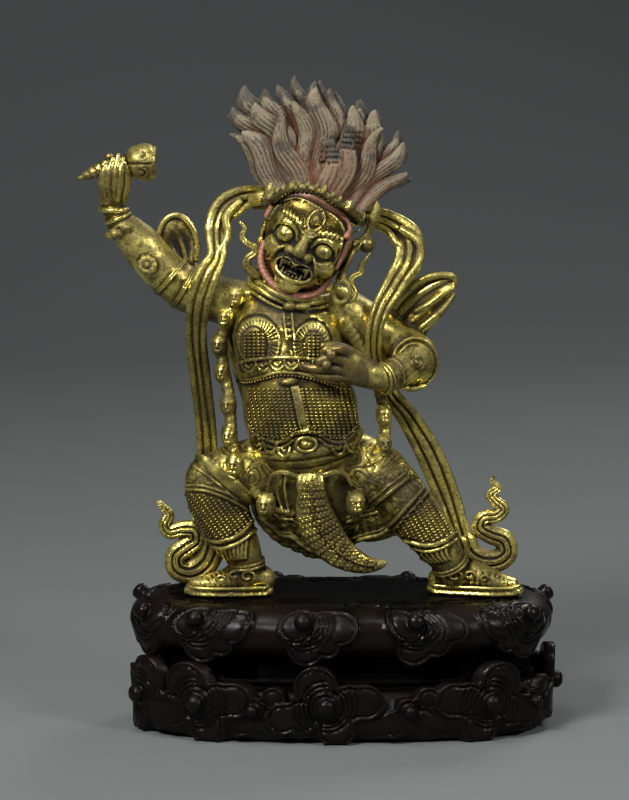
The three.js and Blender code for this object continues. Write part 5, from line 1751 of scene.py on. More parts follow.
@dataclass
class Leg:
    """One booted leg, with mail on its shin.

    Attributes:
        name: the piece's name.
        low: one corner of its block.
        high: the opposite corner.
        thigh: stations from the hip to the knee.
        shin: stations from the knee to the ankle.
        shoe: stations from the heel to the toe.
        heel: where the sole ends behind, in x and y.
        toe: where it ends in front.
        mail_axis: the two ends (x, z) of the line that the mail's rows follow.
        mail_area: the outline (x, z) of the mail.
        hems: cords over the cloth: their spots, their radius and, where it differs, their half depth.
        chased: pairs of corners of the boxes with chased lines.
        fringe: pairs of ends (x, z) of the pleats above the boot.
        mail: the studs that it adds to.
        cell: the side of a cell of the clay.
        sole_top: the height of the sole's welt.
        sole_bottom: the height at which the sole stands.
    """

    name: str
    low: tuple[float, float, float]
    high: tuple[float, float, float]
    thigh: Rows
    shin: Rows
    shoe: Rows
    heel: tuple[float, float]
    toe: tuple[float, float]
    mail_axis: Rows
    mail_area: Rows
    hems: tuple[tuple, ...]
    chased: tuple[Rows, ...]
    fringe: tuple[Rows, ...]
    mail: StudField
    cell: float = 0.33
    sole_top: float = 51.0
    sole_bottom: float = 48.3

    @staticmethod
    def creases(s: np.ndarray, u: np.ndarray, v: np.ndarray) -> np.ndarray:
        """Cuts the soft creases of the cloth over the thigh."""
        return 0.3 * ridges(s / 9 + 0.5 * u + 0.4 * v) ** 4

    @staticmethod
    def ribs(s: np.ndarray, u: np.ndarray, v: np.ndarray) -> np.ndarray:
        """Cuts the ribs across the boot."""
        return 0.42 * ridges(s / 1.9 + 0.4 * u * u) ** 2

    def build(self) -> None:
        """Builds the leg."""
        clay = Clay(self.low, self.high, self.cell)
        clay.stroke(self.thigh, relief=self.creases, blend=1.5)
        clay.stroke(self.shin, blend=2)
        clay.stroke(self.shoe, facing=UP, relief=self.ribs, blend=1)
        self.sole(clay)
        self.boot_trim(clay)
        for low, high in self.chased:
            clay.chase(low, high, 0.34, 1.2)
        for hem, radius, *depth in self.hems:
            clay.line(hem, radius, 0.3 if not depth else 0.1, *depth)
        self.cover(clay)
        clay.slice_below(self.sole_bottom)
        clay.piece(self.name)

    def sole(self, clay: Clay) -> None:
        """Models the flat sole with its welt."""
        heel, toe = np.array(self.heel), np.array(self.toe)
        middle = 0.5 * (self.sole_top + self.sole_bottom)
        widths = ((0.0, 5.0), (0.22, 6.2), (0.5, 6.6), (0.74, 6.4), (0.9, 4.8), (1.0, 3.0))
        inset = 3.0 * unit(toe - heel)
        slab = [(*(heel + inset + (toe - heel - 1.6 * inset) * t), middle, w, 1.35) for t, w in widths]
        clay.stroke(slab, facing=UP, flat=True, blend=0.4, cap=2.2)
        side = np.array([-(toe - heel)[1], (toe - heel)[0]]) / np.linalg.norm(toe - heel)
        rim = []
        for t in np.linspace(0, math.tau, 26):
            share = 0.5 - 0.5 * math.cos(t)
            wide = np.interp(share, *zip(*widths)) * min(1, 2.4 * abs(math.sin(t)))
            along = heel + inset * 0.4 + (toe - heel - inset * 0.5) * share
            rim.append(along + side * wide * np.sign(math.sin(t)))
        for level, radius in ((self.sole_top + 0.3, 0.7), (self.sole_bottom + 0.6, 0.6)):
            clay.stroke([(*place, level, radius) for place in rim], facing=UP, blend=0.2)

    def boot_trim(self, clay: Clay) -> None:
        """Lays the rings of the ankle, the pleats of the hem above and the scrolls at the instep."""
        ankle, below = (np.array(self.shin[i]) for i in (-2, -1))
        lean = unit(below[:3] - ankle[:3])
        sideways = unit(np.cross((0, 1, 0), lean))
        axes = np.stack([sideways, np.cross(lean, sideways), lean], axis=1)
        for shift in (0.2, 1.6):
            clay.stroke(ring(ankle[:3] + lean * shift, axes, ankle[3] + 0.2, ankle[4] + 0.2, 0.6), blend=0.2)
        for top, bottom in self.fringe:
            bend = (0.6 * top[0] + 0.4 * bottom[0] - 0.2, 0.5 * (top[1] + bottom[1]))
            clay.line((top, bend, bottom), 0.62, 0.1)
        heel, toe = np.array(self.heel), np.array(self.toe)
        for share, up, radius in ((0.30, 53.2, 2.1), (0.46, 53.6, 1.7), (0.62, 52.4, 1.4)):
            spot = clay.seen([((heel + (toe - heel) * share)[0], up)], 0.1)[0]
            curl = []
            for t in np.linspace(0, 5.4, 14):
                tighter = 1 - t / 9
                aside = (radius * 1.3 * math.cos(t) * tighter, -0.2, radius * math.sin(t) * tighter)
                curl.append((*(spot + np.array(aside)), 0.45))
            clay.stroke(curl, blend=0.2)

    def cover(self, clay: Clay) -> None:
        """Sets the mail on the shin in rows that follow it down."""
        start, end = np.array(self.mail_axis[0]), np.array(self.mail_axis[1])
        run = (end - start) / np.linalg.norm(end - start)
        side = np.array([run[1], -run[0]])
        length = np.linalg.norm(end - start)
        rows, columns = np.arange(-4, length + 6, MAIL_ROW), np.arange(-15.6, 15.7, MAIL_COLUMN)
        spots = np.array([start + run * (down - 0.011 * across ** 2) + side * across
                          for down in rows for across in columns])
        points = clay.seen(spots[inside(self.mail_area, spots)], 0.05)
        normal = clay.normals(points)
        visible = normal[:, 1] < -0.12
        self.mail.add(points[visible], normal[visible], (run[0], 0, run[1]))
        for spot in points[visible]:
            clay.stain(clay.window(spot - 1.1, spot + 1.1), Coat.GROUND)


@dataclass
class Skirt:
    """The hanging skirt and lap, the gathered knot and the scaly front sash."""

    cell: float = 0.34
    scales: StudField = field(default_factory=lambda: StudField("figure_sash_scales", 0.95, 0.95, 0.5))
    beads: BeadLines = field(default_factory=lambda: BeadLines("figure_sash_beads", 1.25, 0.58))
    body: Rows = (
        (-5, 0, 102, 18, 14), (-4, -1, 96, 22, 15), (-3, -1, 90, 24, 14.4), (-1, -1, 80, 25, 12.4),
        (0, -1, 71, 20, 9.4), (1, -2, 63.5, 9, 5.4))
    lap: Rows = (
        (12, -5, 92, 11, 9), (15, -5.6, 86, 10.4, 8.4), (17.4, -6, 78, 10.4, 7.8),
        (18.6, -6, 70.6, 8.5, 5.4))
    sash: Rows = (
        (-4, -17.4, 94, 4.6, 2.2), (-4.2, -18.4, 88, 4.7, 2.6), (-3.2, -18.4, 79.5, 6.4, 2.8),
        (0.2, -18, 72, 6.7, 2.8), (5.8, -17.4, 65.6, 5.4, 2.4), (13, -16.8, 61.6, 3.5, 1.9),
        (18.4, -16.4, 60.8, 1.9, 1.3), (22.2, -16.2, 61.6, 0.8, 0.8))

    left_hem: Rows = (
        (-23.4, 75.2), (-18.4, 71.4), (-15.3, 68.6), (-11.2, 67.6), (-8.7, 65.6), (-5.2, 63.2),
        (-1.4, 62.2))
    right_hem: Rows = ((8.6, 64.6), (12, 66.2), (15.5, 67.4), (20.3, 68.6), (24.4, 70.6), (27.4, 66.2))

    @staticmethod
    def waves(s: np.ndarray, u: np.ndarray, v: np.ndarray) -> np.ndarray:
        """Cuts the hanging pleats of the skirt."""
        return 0.5 * ridges(u * 3.1 + 0.02 * s) ** 2 * np.clip(s / 30, 0, 1)

    def hems(self, clay: Clay) -> None:
        """Lays the hem lines of the skirt's layers, and the engraved waves between them."""
        for lift, radius in ((0.0, 0.8), (1.6, 0.4), (8.6, 0.6), (10.2, 0.4)):
            clay.line([(x, z + lift + 0.02 * lift * x) for x, z in self.left_hem], radius)
            clay.line([(x, z + lift) for x, z in self.right_hem], radius)
        strap = [(-30, 89), (-27, 84.6), (-22, 80.4), (-15.6, 77.6), (-11, 76.4)]
        clay.line(strap, 1.2)
        for i in range(3):
            fold = [
                (18 - 2.4 * i, 90 - 1.6 * i), (15.6 - 1.8 * i, 84 - i), (13.6 - 1.2 * i, 77),
                (12 - 1.2 * i, 70)]
            clay.line(fold, 0.5, lift=0.0)
        for i in range(4):
            fold = [(-13 - 2.6 * i, 95), (-14 - 3.0 * i, 86), (-12.4 - 2.2 * i, 77)]
            clay.line(fold, 0.55, lift=0.0)

    def border(self, clay: Clay) -> None:
        """Engraves rows of waves along the skirt's lower border, and curling lines above them."""
        across = [p[0] for p in self.left_hem + self.right_hem]
        level = [p[1] + 2.6 for p in self.left_hem + self.right_hem]

        def rows(x: np.ndarray, y: np.ndarray, z: np.ndarray) -> np.ndarray:
            """Returns the depth of the waves at a place."""
            above = z - np.interp(x, across, level)
            band = np.clip((above - 1.4) * 2, 0, 1) * np.clip((8.6 - above) * 2, 0, 1)
            return 0.32 * ridges(above / 1.75 + 0.3 * np.sin(1.9 * x)) ** 2 * band * (y < -2)

        clay.press((-26, -26, 58), (30, -2, 88), rows)
        clay.chase((-24, -26, 76), (-9, -4, 96))
        clay.chase((8, -26, 74), (30, -4, 98))

    def knot(self, clay: Clay) -> None:
        """Models the gathered knot and its dark hollow under the belt."""
        clay.ball((-4.6, -18.6, 95.0), (6.0, 4.6, 3.0), blend=0.8, cut=True, coat=Coat.GROUND)
        for i in range(5):
            x = -8.6 + 1.95 * i
            pleat = [
                (x * 0.7 - 1.4, -18.4, 94.6, 0.9), (x, -19.6, 91.2, 1.25),
                (x * 0.95 - 0.2, -19.4, 87.8, 1.1)]
            clay.stroke(pleat, blend=0.35)
        for side in (-1, 1):
            loop = [(-5 + 2 * side, -18.6, 92.6, 1.0), (-5 + 8.6 * side, -18.2, 94.8, 1.3),
                    (-5 + 13 * side, -16, 93.4, 1.1), (-5 + 15 * side, -14.4, 89.6, 0.9)]
            clay.stroke(loop, blend=0.5, relief=strands(2, 0.3))

    def front(self, clay: Clay) -> None:
        """Models the long scaly sash with its beaded rib, tapering and curling to the right."""
        clay.stroke(self.sash, blend=0.3, flat=True, cap=0.6)
        path, length = smooth_path(self.sash, 1.0)
        rib = [
            (*(p[:3] + np.array([0, -p[4], 0])), 0.75 * (1 - 0.5 * s / length[-1])) for p,
            s in zip(path, length)]
        clay.stroke(rib[::3], blend=0.2)
        self.beads.add(np.array([r[:3] for r in rib[2:-5]]) + (0.0, -0.55, 0.0))
        tangent = np.gradient(path[:, :3], axis=0)
        tangent /= np.linalg.norm(tangent, axis=1, keepdims=True)
        side = np.cross(tangent, OUT)
        step = 0
        for s in np.arange(3, length[-1] - 4, 1.55):
            i = int(np.searchsorted(length, s))
            step += 1
            wide = path[i, 3]
            count = int(wide / 1.45)
            shift = 0.5 * (step % 2)
            places = [(k + 0.62 + shift) * 1.5 for k in range(count) if (k + 0.62 + shift) * 1.5 < wide - 0.4]
            for across in [a * sign for a in places for sign in (-1, 1)]:
                depth = path[i, 4] * (1 - (across / wide) ** 4) ** 0.25
                point = path[i, :3] + side[i] * across + np.array([0, -depth, 0])
                normal = unit(np.array([0, -1.0, 0]) + side[i] * 0.9 * (across / wide) ** 3)
                self.scales.add(point[None], normal[None], tangent[i])
        for sign in (-1, 1):
            edge = [
                (*(p[:3] + q * p[3] * sign * 0.98 + np.array([0, -0.2, 0])), 0.55) for p,
                q in zip(path, side)]
            clay.stroke(edge[::2], blend=0.2)

    def build(self) -> None:
        """Builds the skirt, the knot and the sash."""
        clay = Clay((-34, -26, 54), (34, 17, 108), self.cell)
        clay.stroke(self.body, relief=self.waves, cap=0.6, blend=1)
        clay.stroke(self.lap, relief=self.waves, blend=2, cap=0.6)
        self.border(clay)
        self.hems(clay)
        self.knot(clay)
        self.front(clay)
        clay.piece("figure_skirt")
        self.scales.piece()
        self.beads.piece()


@dataclass
class Garland:
    """The garland of small heads that hangs from the shoulders to the knees."""

    cell: float = 0.3
    left: Rows = (
        (-25, -5, 158), (-31, -6, 154), (-34.4, -5.4, 148), (-36.6, -5.6, 141), (-36.0, -6.6, 132),
        (-34.0, -9, 122), (-33.2, -11, 112), (-32.4, -13, 103), (-30, -15.4, 96), (-26, -14.4, 89),
        (-20.6, -12.4, 82.8))
    right: Rows = (
        (7.4, -8, 148), (14, -7, 137), (19.6, -6.6, 124), (21.8, -7.4, 113.6), (21.6, -8, 104),
        (17.6, -11, 94), (11.4, -14.6, 84))
    heads: Rows = (
        (-31.2, -8.0, 156.4, 2.9), (-35.0, -6.4, 148.4, 3.0), (-37.2, -6.6, 138.8, 3.2),
        (-36.2, -7.8, 129.0, 3.0), (-34.0, -10.4, 117.6, 3.1), (-33.8, -12.4, 106.6, 3.1),
        (-31.6, -16.8, 96.8, 3.7), (-20.6, -14.4, 82.0, 3.7), (21.6, -9.0, 113.8, 3.1),
        (20.8, -8.2, 124.6, 2.6), (21.6, -10, 103.6, 3.0), (11.4, -16.4, 83.0, 3.7))

    def small_head(self, clay: Clay, at: Point, size: float) -> None:
        """Models one small head: brow, closed eyes, nose, mouth and swept hair."""
        at = np.asarray(at, float)
        away = unit((0.25 * np.sign(at[0]), -1, 0.1))
        axes = facing_axes(away)

        def place(right: float, up: float, out: float) -> np.ndarray:
            """Returns the point at those shares of the size from the middle."""
            return at + axes @ np.array([right, up, out]) * size

        clay.ball(at, np.array([0.84, 0.9, 1.12]) * size, blend=0.4)
        clay.ball(place(0, 0.42, 0.1), np.array([0.82, 0.86, 0.72]) * size, blend=0.3)
        for side in (-1, 1):
            clay.ball(place(0.36 * side, 0.12, 0.86), np.array([0.24, 0.2, 0.2]) * size, blend=0.2, cut=True)
            clay.ball(place(0.36 * side, 0.1, 0.72), np.array([0.17, 0.14, 0.13]) * size, blend=0.05)
            clay.stroke([
                (*place(0.08 * side, 0.3, 0.92), 0.12 * size), (*place(0.6 * side, 0.34, 0.7), 0.1 * size)],
                blend=0.15)
        clay.stroke([(*place(0, 0.28, 0.86), 0.1 * size), (*place(0, -0.14, 1.0), 0.17 * size)], blend=0.15)
        clay.stroke(
            [(*place(-0.26, -0.44, 0.84), 0.09 * size), (*place(0.26, -0.44, 0.84), 0.09 * size)],
            blend=0.1)
        clay.stroke(
            [(*place(-0.22, -0.6, 0.8), 0.09 * size), (*place(0.22, -0.6, 0.8), 0.09 * size)], blend=0.1)
        for turn in (-50, -20, 10, 40):
            lean = math.radians(turn)
            clay.stroke([(*place(0.5 * math.sin(lean), 0.62, 0.55), 0.13 * size),
                         (*place(0.8 * math.sin(lean), 1.05, 0.1), 0.1 * size)], blend=0.1)

    def build(self) -> None:
        """Builds the garland."""
        clay = Clay((-43, -24, 74), (30, 2, 164), self.cell)
        for rope in (self.left, self.right):
            clay.stroke([(*p, 2.3) for p in rope], relief=twisted(2.4, 0.3))
        for *place, size in self.heads:
            self.small_head(clay, place, 1.16 * size)
        clay.piece("figure_garland")


@dataclass(frozen=True)
class ScarfSide:
    """One side of the scarf.

    Attributes:
        name: the piece's name.
        low: one corner of its block.
        high: the opposite corner.
        band: rows of x, y, z and half width along the band.
        curls: rows of x, z and half width along its curled end.
        folds: stations of the single folds that lie on it.
    """

    name: str
    low: tuple[float, float, float]
    high: tuple[float, float, float]
    band: Rows
    curls: Rows
    folds: tuple[Rows, ...]


@dataclass
class Scarf:
    """The long scarf: a loop at each side of the head, and an end that curls at each foot."""

    cell: float = 0.36
    left: ScarfSide = ScarfSide(
        "figure_scarf_left", (-64, -14, 47), (1, 12, 197),
        band=(
            (-6, 4, 185, 4.4), (-12, 5.6, 188.6, 4.0), (-18, 6.6, 190.2, 3.8), (-27, 4.4, 191.2, 4.0),
            (-34.6, 1.8, 187.8, 4.8), (-38, -0.5, 181, 4.4), (-38, -6, 171, 3.5), (-41, -9.4, 165, 4.4),
            (-44.4, -9.4, 155, 4.3), (-45.6, -5, 142, 3.9), (-44.4, 0, 127, 3.9), (-42.4, 2, 108, 3.8),
            (-41.4, 3.2, 88, 3.8), (-40.0, 2.4, 74, 3.9), (-39.6, 1.8, 66, 3.8)),
        curls=(
            (-39.8, 70, 3.9), (-40.6, 62.6, 4), (-43.6, 57, 4), (-48, 54.6, 3.9), (-52.6, 56.0, 3.6),
            (-53.4, 60.4, 3.4), (-49.6, 63.8, 3.3), (-46.2, 66.4, 3.1), (-46.8, 70, 2.9), (-51.4, 70.4, 2.6),
            (-55.6, 69.6, 2.4), (-57.4, 72.2, 2.1), (-55.9, 75.6, 1.7), (-57.9, 78.2, 1.3),
            (-59.6, 80.4, 0.8)),
        folds=(
            ((-30, 0.8, 189.6, 1.3), (-34.6, -1.6, 184.6, 1.6), (-34.0, -3.6, 178, 1.4),
             (-37.4, -6.4, 172, 1.1)),
            ((-20, 4.4, 187.4, 1.2), (-27, 2.4, 187.8, 1.3), (-31.6, 0, 184.6, 1.2))))
    right: ScarfSide = ScarfSide(
        "figure_scarf_right", (-10, -14, 47), (73, 12, 194),
        band=(
            (-4, 4, 183, 4.4), (4, 6, 184.4, 4.2), (12, 7, 184.2, 4), (23, 5.6, 181.8, 4.3),
            (30, 3, 176.4, 5.4), (30.4, -0.5, 169, 5.3), (26, -4.4, 161.4, 4.3), (20.6, -8.4, 152.6, 3.5),
            (18, -9.4, 143, 3.1), (18.6, -7.4, 133.4, 3), (23.4, -2.6, 121.4, 3.4), (30.6, 0.4, 111.4, 4.1),
            (38, 2.6, 98.4, 4.9), (44, 3.4, 84, 5), (48.6, 2, 70.4, 4.3), (50.6, 1, 63.8, 3.9)),
        curls=(
            (51, 66, 3.8), (53, 61.4, 3.8), (57.4, 58.8, 3.7), (63, 58.8, 3.5), (66.6, 61.8, 3.3),
            (65.4, 66.4, 3.1), (60.6, 68.4, 2.9), (56.8, 71, 2.7), (58, 74.6, 2.4), (62.6, 75.2, 2.2),
            (65, 78, 2.0), (61.8, 81, 1.8), (60.4, 83.4, 1.6), (63.2, 85.6, 1.3), (60.9, 88, 0.9),
            (62, 90, 0.6)),
        folds=(
            ((14, 4.8, 182, 1.2), (22, 3.2, 179.4, 1.3), (26.4, 0.8, 174.4, 1.2)),
            ((28, 2.4, 179.6, 1.3), (33.6, 0.6, 175.6, 1.5), (34.8, -1.4, 169.4, 1.3),
             (29.4, -4.8, 162, 1.0))))

    @staticmethod
    def parted(s: np.ndarray, u: np.ndarray, v: np.ndarray) -> np.ndarray:
        """Cuts the two grooves that part a band in three, and the finer lines on it."""
        return (1.15 * groove(np.abs(u) - 0.33 - 0.05 * np.sin(s * 0.11), 0.16)
                + 0.16 * ridges(u * 7 + 0.3 * np.sin(s * 0.2)) ** 3)

    @staticmethod
    def coiled(s: np.ndarray, u: np.ndarray, v: np.ndarray) -> np.ndarray:
        """Cuts the grooves and the finer lines along a curled end."""
        return 0.95 * groove(np.abs(u) - 0.3, 0.12) + 0.35 * ridges(u * 5) ** 3

    def side(self, side: ScarfSide) -> None:
        """Builds one side: the band, its curled end, which is a little thicker, and the folds."""
        clay = Clay(side.low, side.high, self.cell)
        band = [(*row, 1.75) for row in side.band]
        clay.stroke(band, relief=self.parted, flat=True, blend=0.4, cap=0.8)
        curls = [(x, 1.5, z, 1.24 * wide, min(2.6, 1.1 * wide)) for x, z, wide in side.curls]
        clay.stroke(curls, relief=self.coiled, blend=0.3)
        for fold in side.folds:
            clay.stroke(fold, blend=0.5)
        clay.piece(side.name, 0.22)

    def build(self) -> None:
        """Builds both sides of the scarf."""
        for side in (self.left, self.right):
            self.side(side)


@dataclass(frozen=True)
class Clouds:
    """One row of clouds round the stand.

    Attributes:
        knobs: pairs of the rim's angle at a knob, in degrees, and 1, or -1 for a mirror image.
        height: the knobs' height.
        profile: pairs of height and inset, which the plates follow up and down.
        proud: how far their faces stand outside the rim.
        lobes: rows of mm to the right, mm up, radius and how many crescents; the first is the disc.
        knob: the knobs' radius.
    """

    knobs: Rows
    height: float
    profile: Rows
    proud: float
    lobes: Rows
    knob: float


@dataclass
class CloudStand:
    """The hardwood stand: a table on a pierced waist and foot, wrapped in scrolling clouds."""

    cell: float = 0.42
    top: float = 48.0
    middle: float = 6.9
    half_length: float = 76.3
    half_depth: float = 38.0
    squareness: float = 2.5
    rim: Rows = (
        (29.6, 7.4), (31.4, 4.6), (35, 1.5), (39, 0.3), (42.4, 1.4), (45.2, 4.4), (47.2, 9.0), (48, 14),
        (48, 24))
    waist: Rows = ((8, 9), (20, 9), (31, 9))
    hollow: Rows = ((-3, 16), (17, 16), (37, 16))
    windows: tuple[float, ...] = (-115, -66, 70, 114)
    foot: Rows = ((0.0, 4.6), (1.2, 3.2), (4, 1.0), (7, 0.4), (10, 1.0), (14, 3.0), (18, 6.0))
    upper: Clouds = Clouds(
        knobs=(
            (-158, -1), (-129, 1), (-97, 1), (-75, 1), (-31, -1), (15, 1), (46, -1), (76, 1), (104, 1),
            (132, -1), (163, 1)),
        height=43.0,
        profile=(
            (18, 3.0), (27, 2.6), (31.4, 2.2), (35, 1.3), (39, 0.3), (42.4, 1.4), (45.2, 4.4), (47.2, 9.0),
            (48, 14), (48, 24)),
        proud=1.1,
        lobes=(
            (-3.0, 0.4, 6.9, 0), (7.4, -0.6, 7.4, 4), (13.0, -0.8, 6.8, 0), (0.4, -9.0, 6.8, 3),
            (8.4, -8.0, 4.8, 2)),
        knob=3.2)
    lower: Clouds = Clouds(
        knobs=((-160, -1), (-128.5, 1), (-92.4, 1), (-51, -1), (6, 1), (50, 1), (90, -1), (134, 1)),
        height=14.0, profile=((-10, 1.6), (2, 1.6), (12, 1.5), (20, 1.0), (34, 0.6)), proud=1.9,
        lobes=(
            (0, -0.3, 6.4, 0), (8.4, 1.0, 7.0, 4), (14.0, 1.4, 6.6, 0), (-3.6, 6.6, 8.0, 3),
            (-9.0, -3.6, 6.6, 4), (-15.6, -4.8, 6.0, 0), (3.6, -8.6, 6.9, 3)),
        knob=3.3)
    small: Clouds = Clouds(
        knobs=((-76.5, 1), (-110, 1), (28, 1), (70, 1), (112, 1), (160, 1), (-28, 1)), height=12.0,
        profile=((-10, 1.6), (2, 1.6), (12, 1.5), (20, 1.0), (34, 0.6)), proud=1.0,
        lobes=((0, 0, 4.6, 0), (5.8, -3.6, 5.0, 2), (-5.2, -5.2, 5.0, 2), (7.0, 4.2, 4.4, 0)), knob=2.2)

    def on_rim(self, angle: float, z: float, out: float) -> tuple[np.ndarray, np.ndarray]:
        """Finds a place on the rim.

        Args:
            angle: the rim's own angle, in degrees.
            z: the height.
            out: how far outside the rim.

        Returns:
            The point, and the level direction outward.
        """
        turn, power = math.radians(angle), 2 / self.squareness
        half = np.array([self.half_length, self.half_depth])
        here = half * [math.copysign(abs(part) ** power, part) for part in (math.cos(turn), math.sin(turn))]
        steep = np.sign(here) * np.abs(here / half) ** (self.squareness - 1)
        away = unit((*(steep / half), 0))
        return np.array([here[0] + self.middle, here[1], z]) + away * out, away

    def outside(self, x: np.ndarray, y: np.ndarray) -> np.ndarray:
        """Returns how far outside the rim at its widest each place lies, measured level."""
        a, b, n = self.half_length, self.half_depth, self.squareness
        u, v = np.abs(x - self.middle) / a, np.abs(y) / b
        share = (u ** n + v ** n + 1e-9) ** (1 / n)
        slope = np.sqrt((u ** (n - 1) / a) ** 2 + (v ** (n - 1) / b) ** 2) * share ** (1 - n)
        return (share - 1) / np.maximum(slope, 0.5 / self.half_length)

    def unroll(self, x: np.ndarray, y: np.ndarray, z: np.ndarray, profile: Sequence[Point]) -> tuple:
        """Measures places along a smooth profile that runs round the rim.

        Args:
            x: the places to the right.
            y: the places to the back.
            z: their heights.
            profile: pairs of height and inset.

        Returns:
            How far up along the profile each place lies, and how far outside it, both in mm.
        """
        curve, climb = smooth_path([(-inset, 0.0, height) for height, inset in profile], 0.4)
        ahead = np.gradient(curve, axis=0)
        ahead /= np.linalg.norm(ahead, axis=1, keepdims=True)
        step = 0.2
        reach = np.arange(-45.0, 14.0, step)
        gap_out = reach[:, None, None] - curve[:, 0]
        gap_up = z.reshape(1, -1, 1) - curve[:, 2]
        nearest = (gap_out ** 2 + gap_up ** 2).argmin(2)[..., None]
        out, up = (np.take_along_axis(gap, nearest, 2)[..., 0] for gap in (gap_out, gap_up))
        lean_out, lean_up = ahead[nearest[..., 0], 0], ahead[nearest[..., 0], 2]
        rise = (climb[nearest[..., 0]] + out * lean_out + up * lean_up).astype(np.float32)
        depth = (out * lean_up - up * lean_out).astype(np.float32)
        place = np.clip((self.outside(x, y)[:, :, 0] - reach[0]) / step, 0, len(reach) - 1.001)
        first = place.astype(int)
        share = (place - first)[..., None].astype(np.float32)
        return tuple(table[first] * (1 - share) + table[first + 1] * share for table in (rise, depth))

    def slab(self, clay: Clay, profile: Sequence[Point], cut: bool = False, blend: float = 0.8) -> None:
        """Adds or cuts an oval slab whose rim is inset by the profile's pairs of height and inset."""
        low, high = clay.low.copy(), clay.low + clay.count * clay.cell
        low[2], high[2] = profile[0][0] - 3, profile[-1][0] + 3
        cells, x, y, z = clay.window(low, high)
        if not clay.distance[cells].size:
            return
        _, shape = self.unroll(x, y, z, profile)
        ends = np.maximum(profile[0][0] - z, z - profile[-1][0])
        clay.lay(cells, np.maximum(shape, ends), blend, cut=cut)

    def along(self, x: np.ndarray, y: np.ndarray, angle: float) -> np.ndarray:
        """Returns how far along the rim each place lies from an angle, in mm, against the clock."""
        turns = np.linspace(-math.pi, math.pi, 721)
        parts = ((np.cos(turns), self.half_length), (np.sin(turns), self.half_depth))
        rim = np.stack([
            scale * np.sign(part) * np.abs(part) ** (2 / self.squareness) for part, scale in parts])
        length = np.concatenate([[0], np.cumsum(np.linalg.norm(np.diff(rim), axis=0))])
        right, back = (x - self.middle) / self.half_length, y / self.half_depth
        power = self.squareness / 2
        turn = np.arctan2(np.sign(back) * np.abs(back) ** power, np.sign(right) * np.abs(right) ** power)
        from_start = np.interp(turn, turns, length) - np.interp(math.radians(angle), turns, length)
        return (from_start + length[-1] / 2) % length[-1] - length[-1] / 2

    def cloud(self, clay: Clay, clouds: Clouds, angle: float, hand: int) -> None:
        """Carves one cloud: a lobed plate that follows the rim, scrolled round its knob.

        Args:
            clay: the block.
            clouds: the row that it belongs to.
            angle: the rim's angle at its knob, in degrees.
            hand: 1, or -1 for its mirror image.
        """
        curve, climb = smooth_path([(-inset, 0.0, height) for height, inset in clouds.profile], 0.4)
        here = np.abs(curve[:, 2] - clouds.height).argmin()
        lean = unit(curve[here + 1] - curve[here - 1])
        middle, away = self.on_rim(angle, clouds.height, curve[here, 0])
        out = unit(away * lean[2] + np.array([0, 0, -lean[0]]))
        lobes, proud, knob = clouds.lobes, clouds.proud, clouds.knob
        reach = max(max(abs(lobe[0]), abs(lobe[1])) + lobe[2] for lobe in lobes) + 3
        cells, x, y, z = clay.window(middle - reach, middle + reach)
        if not clay.distance[cells].size:
            return
        up, depth = self.unroll(x, y, z, clouds.profile)
        up = up - climb[here]
        across = self.along(x, y, angle) * hand
        disc = np.hypot(across - lobes[0][0], up - lobes[0][1]) - lobes[0][2]
        edge, marks = disc, 0.0
        for right, rise, radius, arcs in lobes[1:]:
            edge = soft_min(edge, np.hypot(across - right, up - rise) - radius, 1.6)
            from_knob = np.hypot(across - 0.2 * right, up - 0.2 * rise)
            facing = (across * right + up * rise) / (from_knob + 1) / math.hypot(right, rise)
            sector = np.clip(5.0 * (facing - 0.72), 0, 1) * (disc > 0.9)
            for k in range(arcs):
                marks = marks + 0.9 * groove(from_knob - 4.4 - 1.7 * k, 0.62) * sector
        marks = marks + 0.9 * groove(disc + 0.3, 0.62) + 0.5 * groove(disc + 1.9, 0.55)
        height_of_face = proud + 0.3 * np.clip(-disc, 0, 1)
        face = np.abs(depth - 0.5 * height_of_face + 1.2) - 0.5 * height_of_face - 1.2
        body = np.maximum(edge, face) + np.maximum(0.7 - np.abs(edge - face), 0) ** 2 / 2.8
        marks = np.minimum(marks, 1.0) + 0.8 * groove(edge + 1.5, 0.62)
        shape = body + marks * (edge < -0.5) * (depth > -0.6)
        clay.lay(cells, shape.astype(np.float32), 0.2)
        at = middle + out * proud
        stem = [(*(at - out * 0.6), knob * 0.84), (*(at + out * 1.9), knob)]
        clay.stroke(stem, facing=UP, blend=0.15, cap=0.75)

    def build_table(self) -> None:
        """Builds the table with the clouds that lap over its rim."""
        clay = Clay((-79, -49, 19), (92, 49, 54), self.cell, Coat.WOOD)
        self.slab(clay, self.rim)
        self.slab(clay, self.hollow, cut=True)
        for angle, hand in self.upper.knobs:
            self.cloud(clay, self.upper, angle, hand)
        self.level_seat(clay)
        self.seat(clay)
        # Painted shade on the flat of the table's top.
        self.darken(clay, -13, 46)
        clay.piece("stand_table", 0.3, STAND, Slot.WOOD)

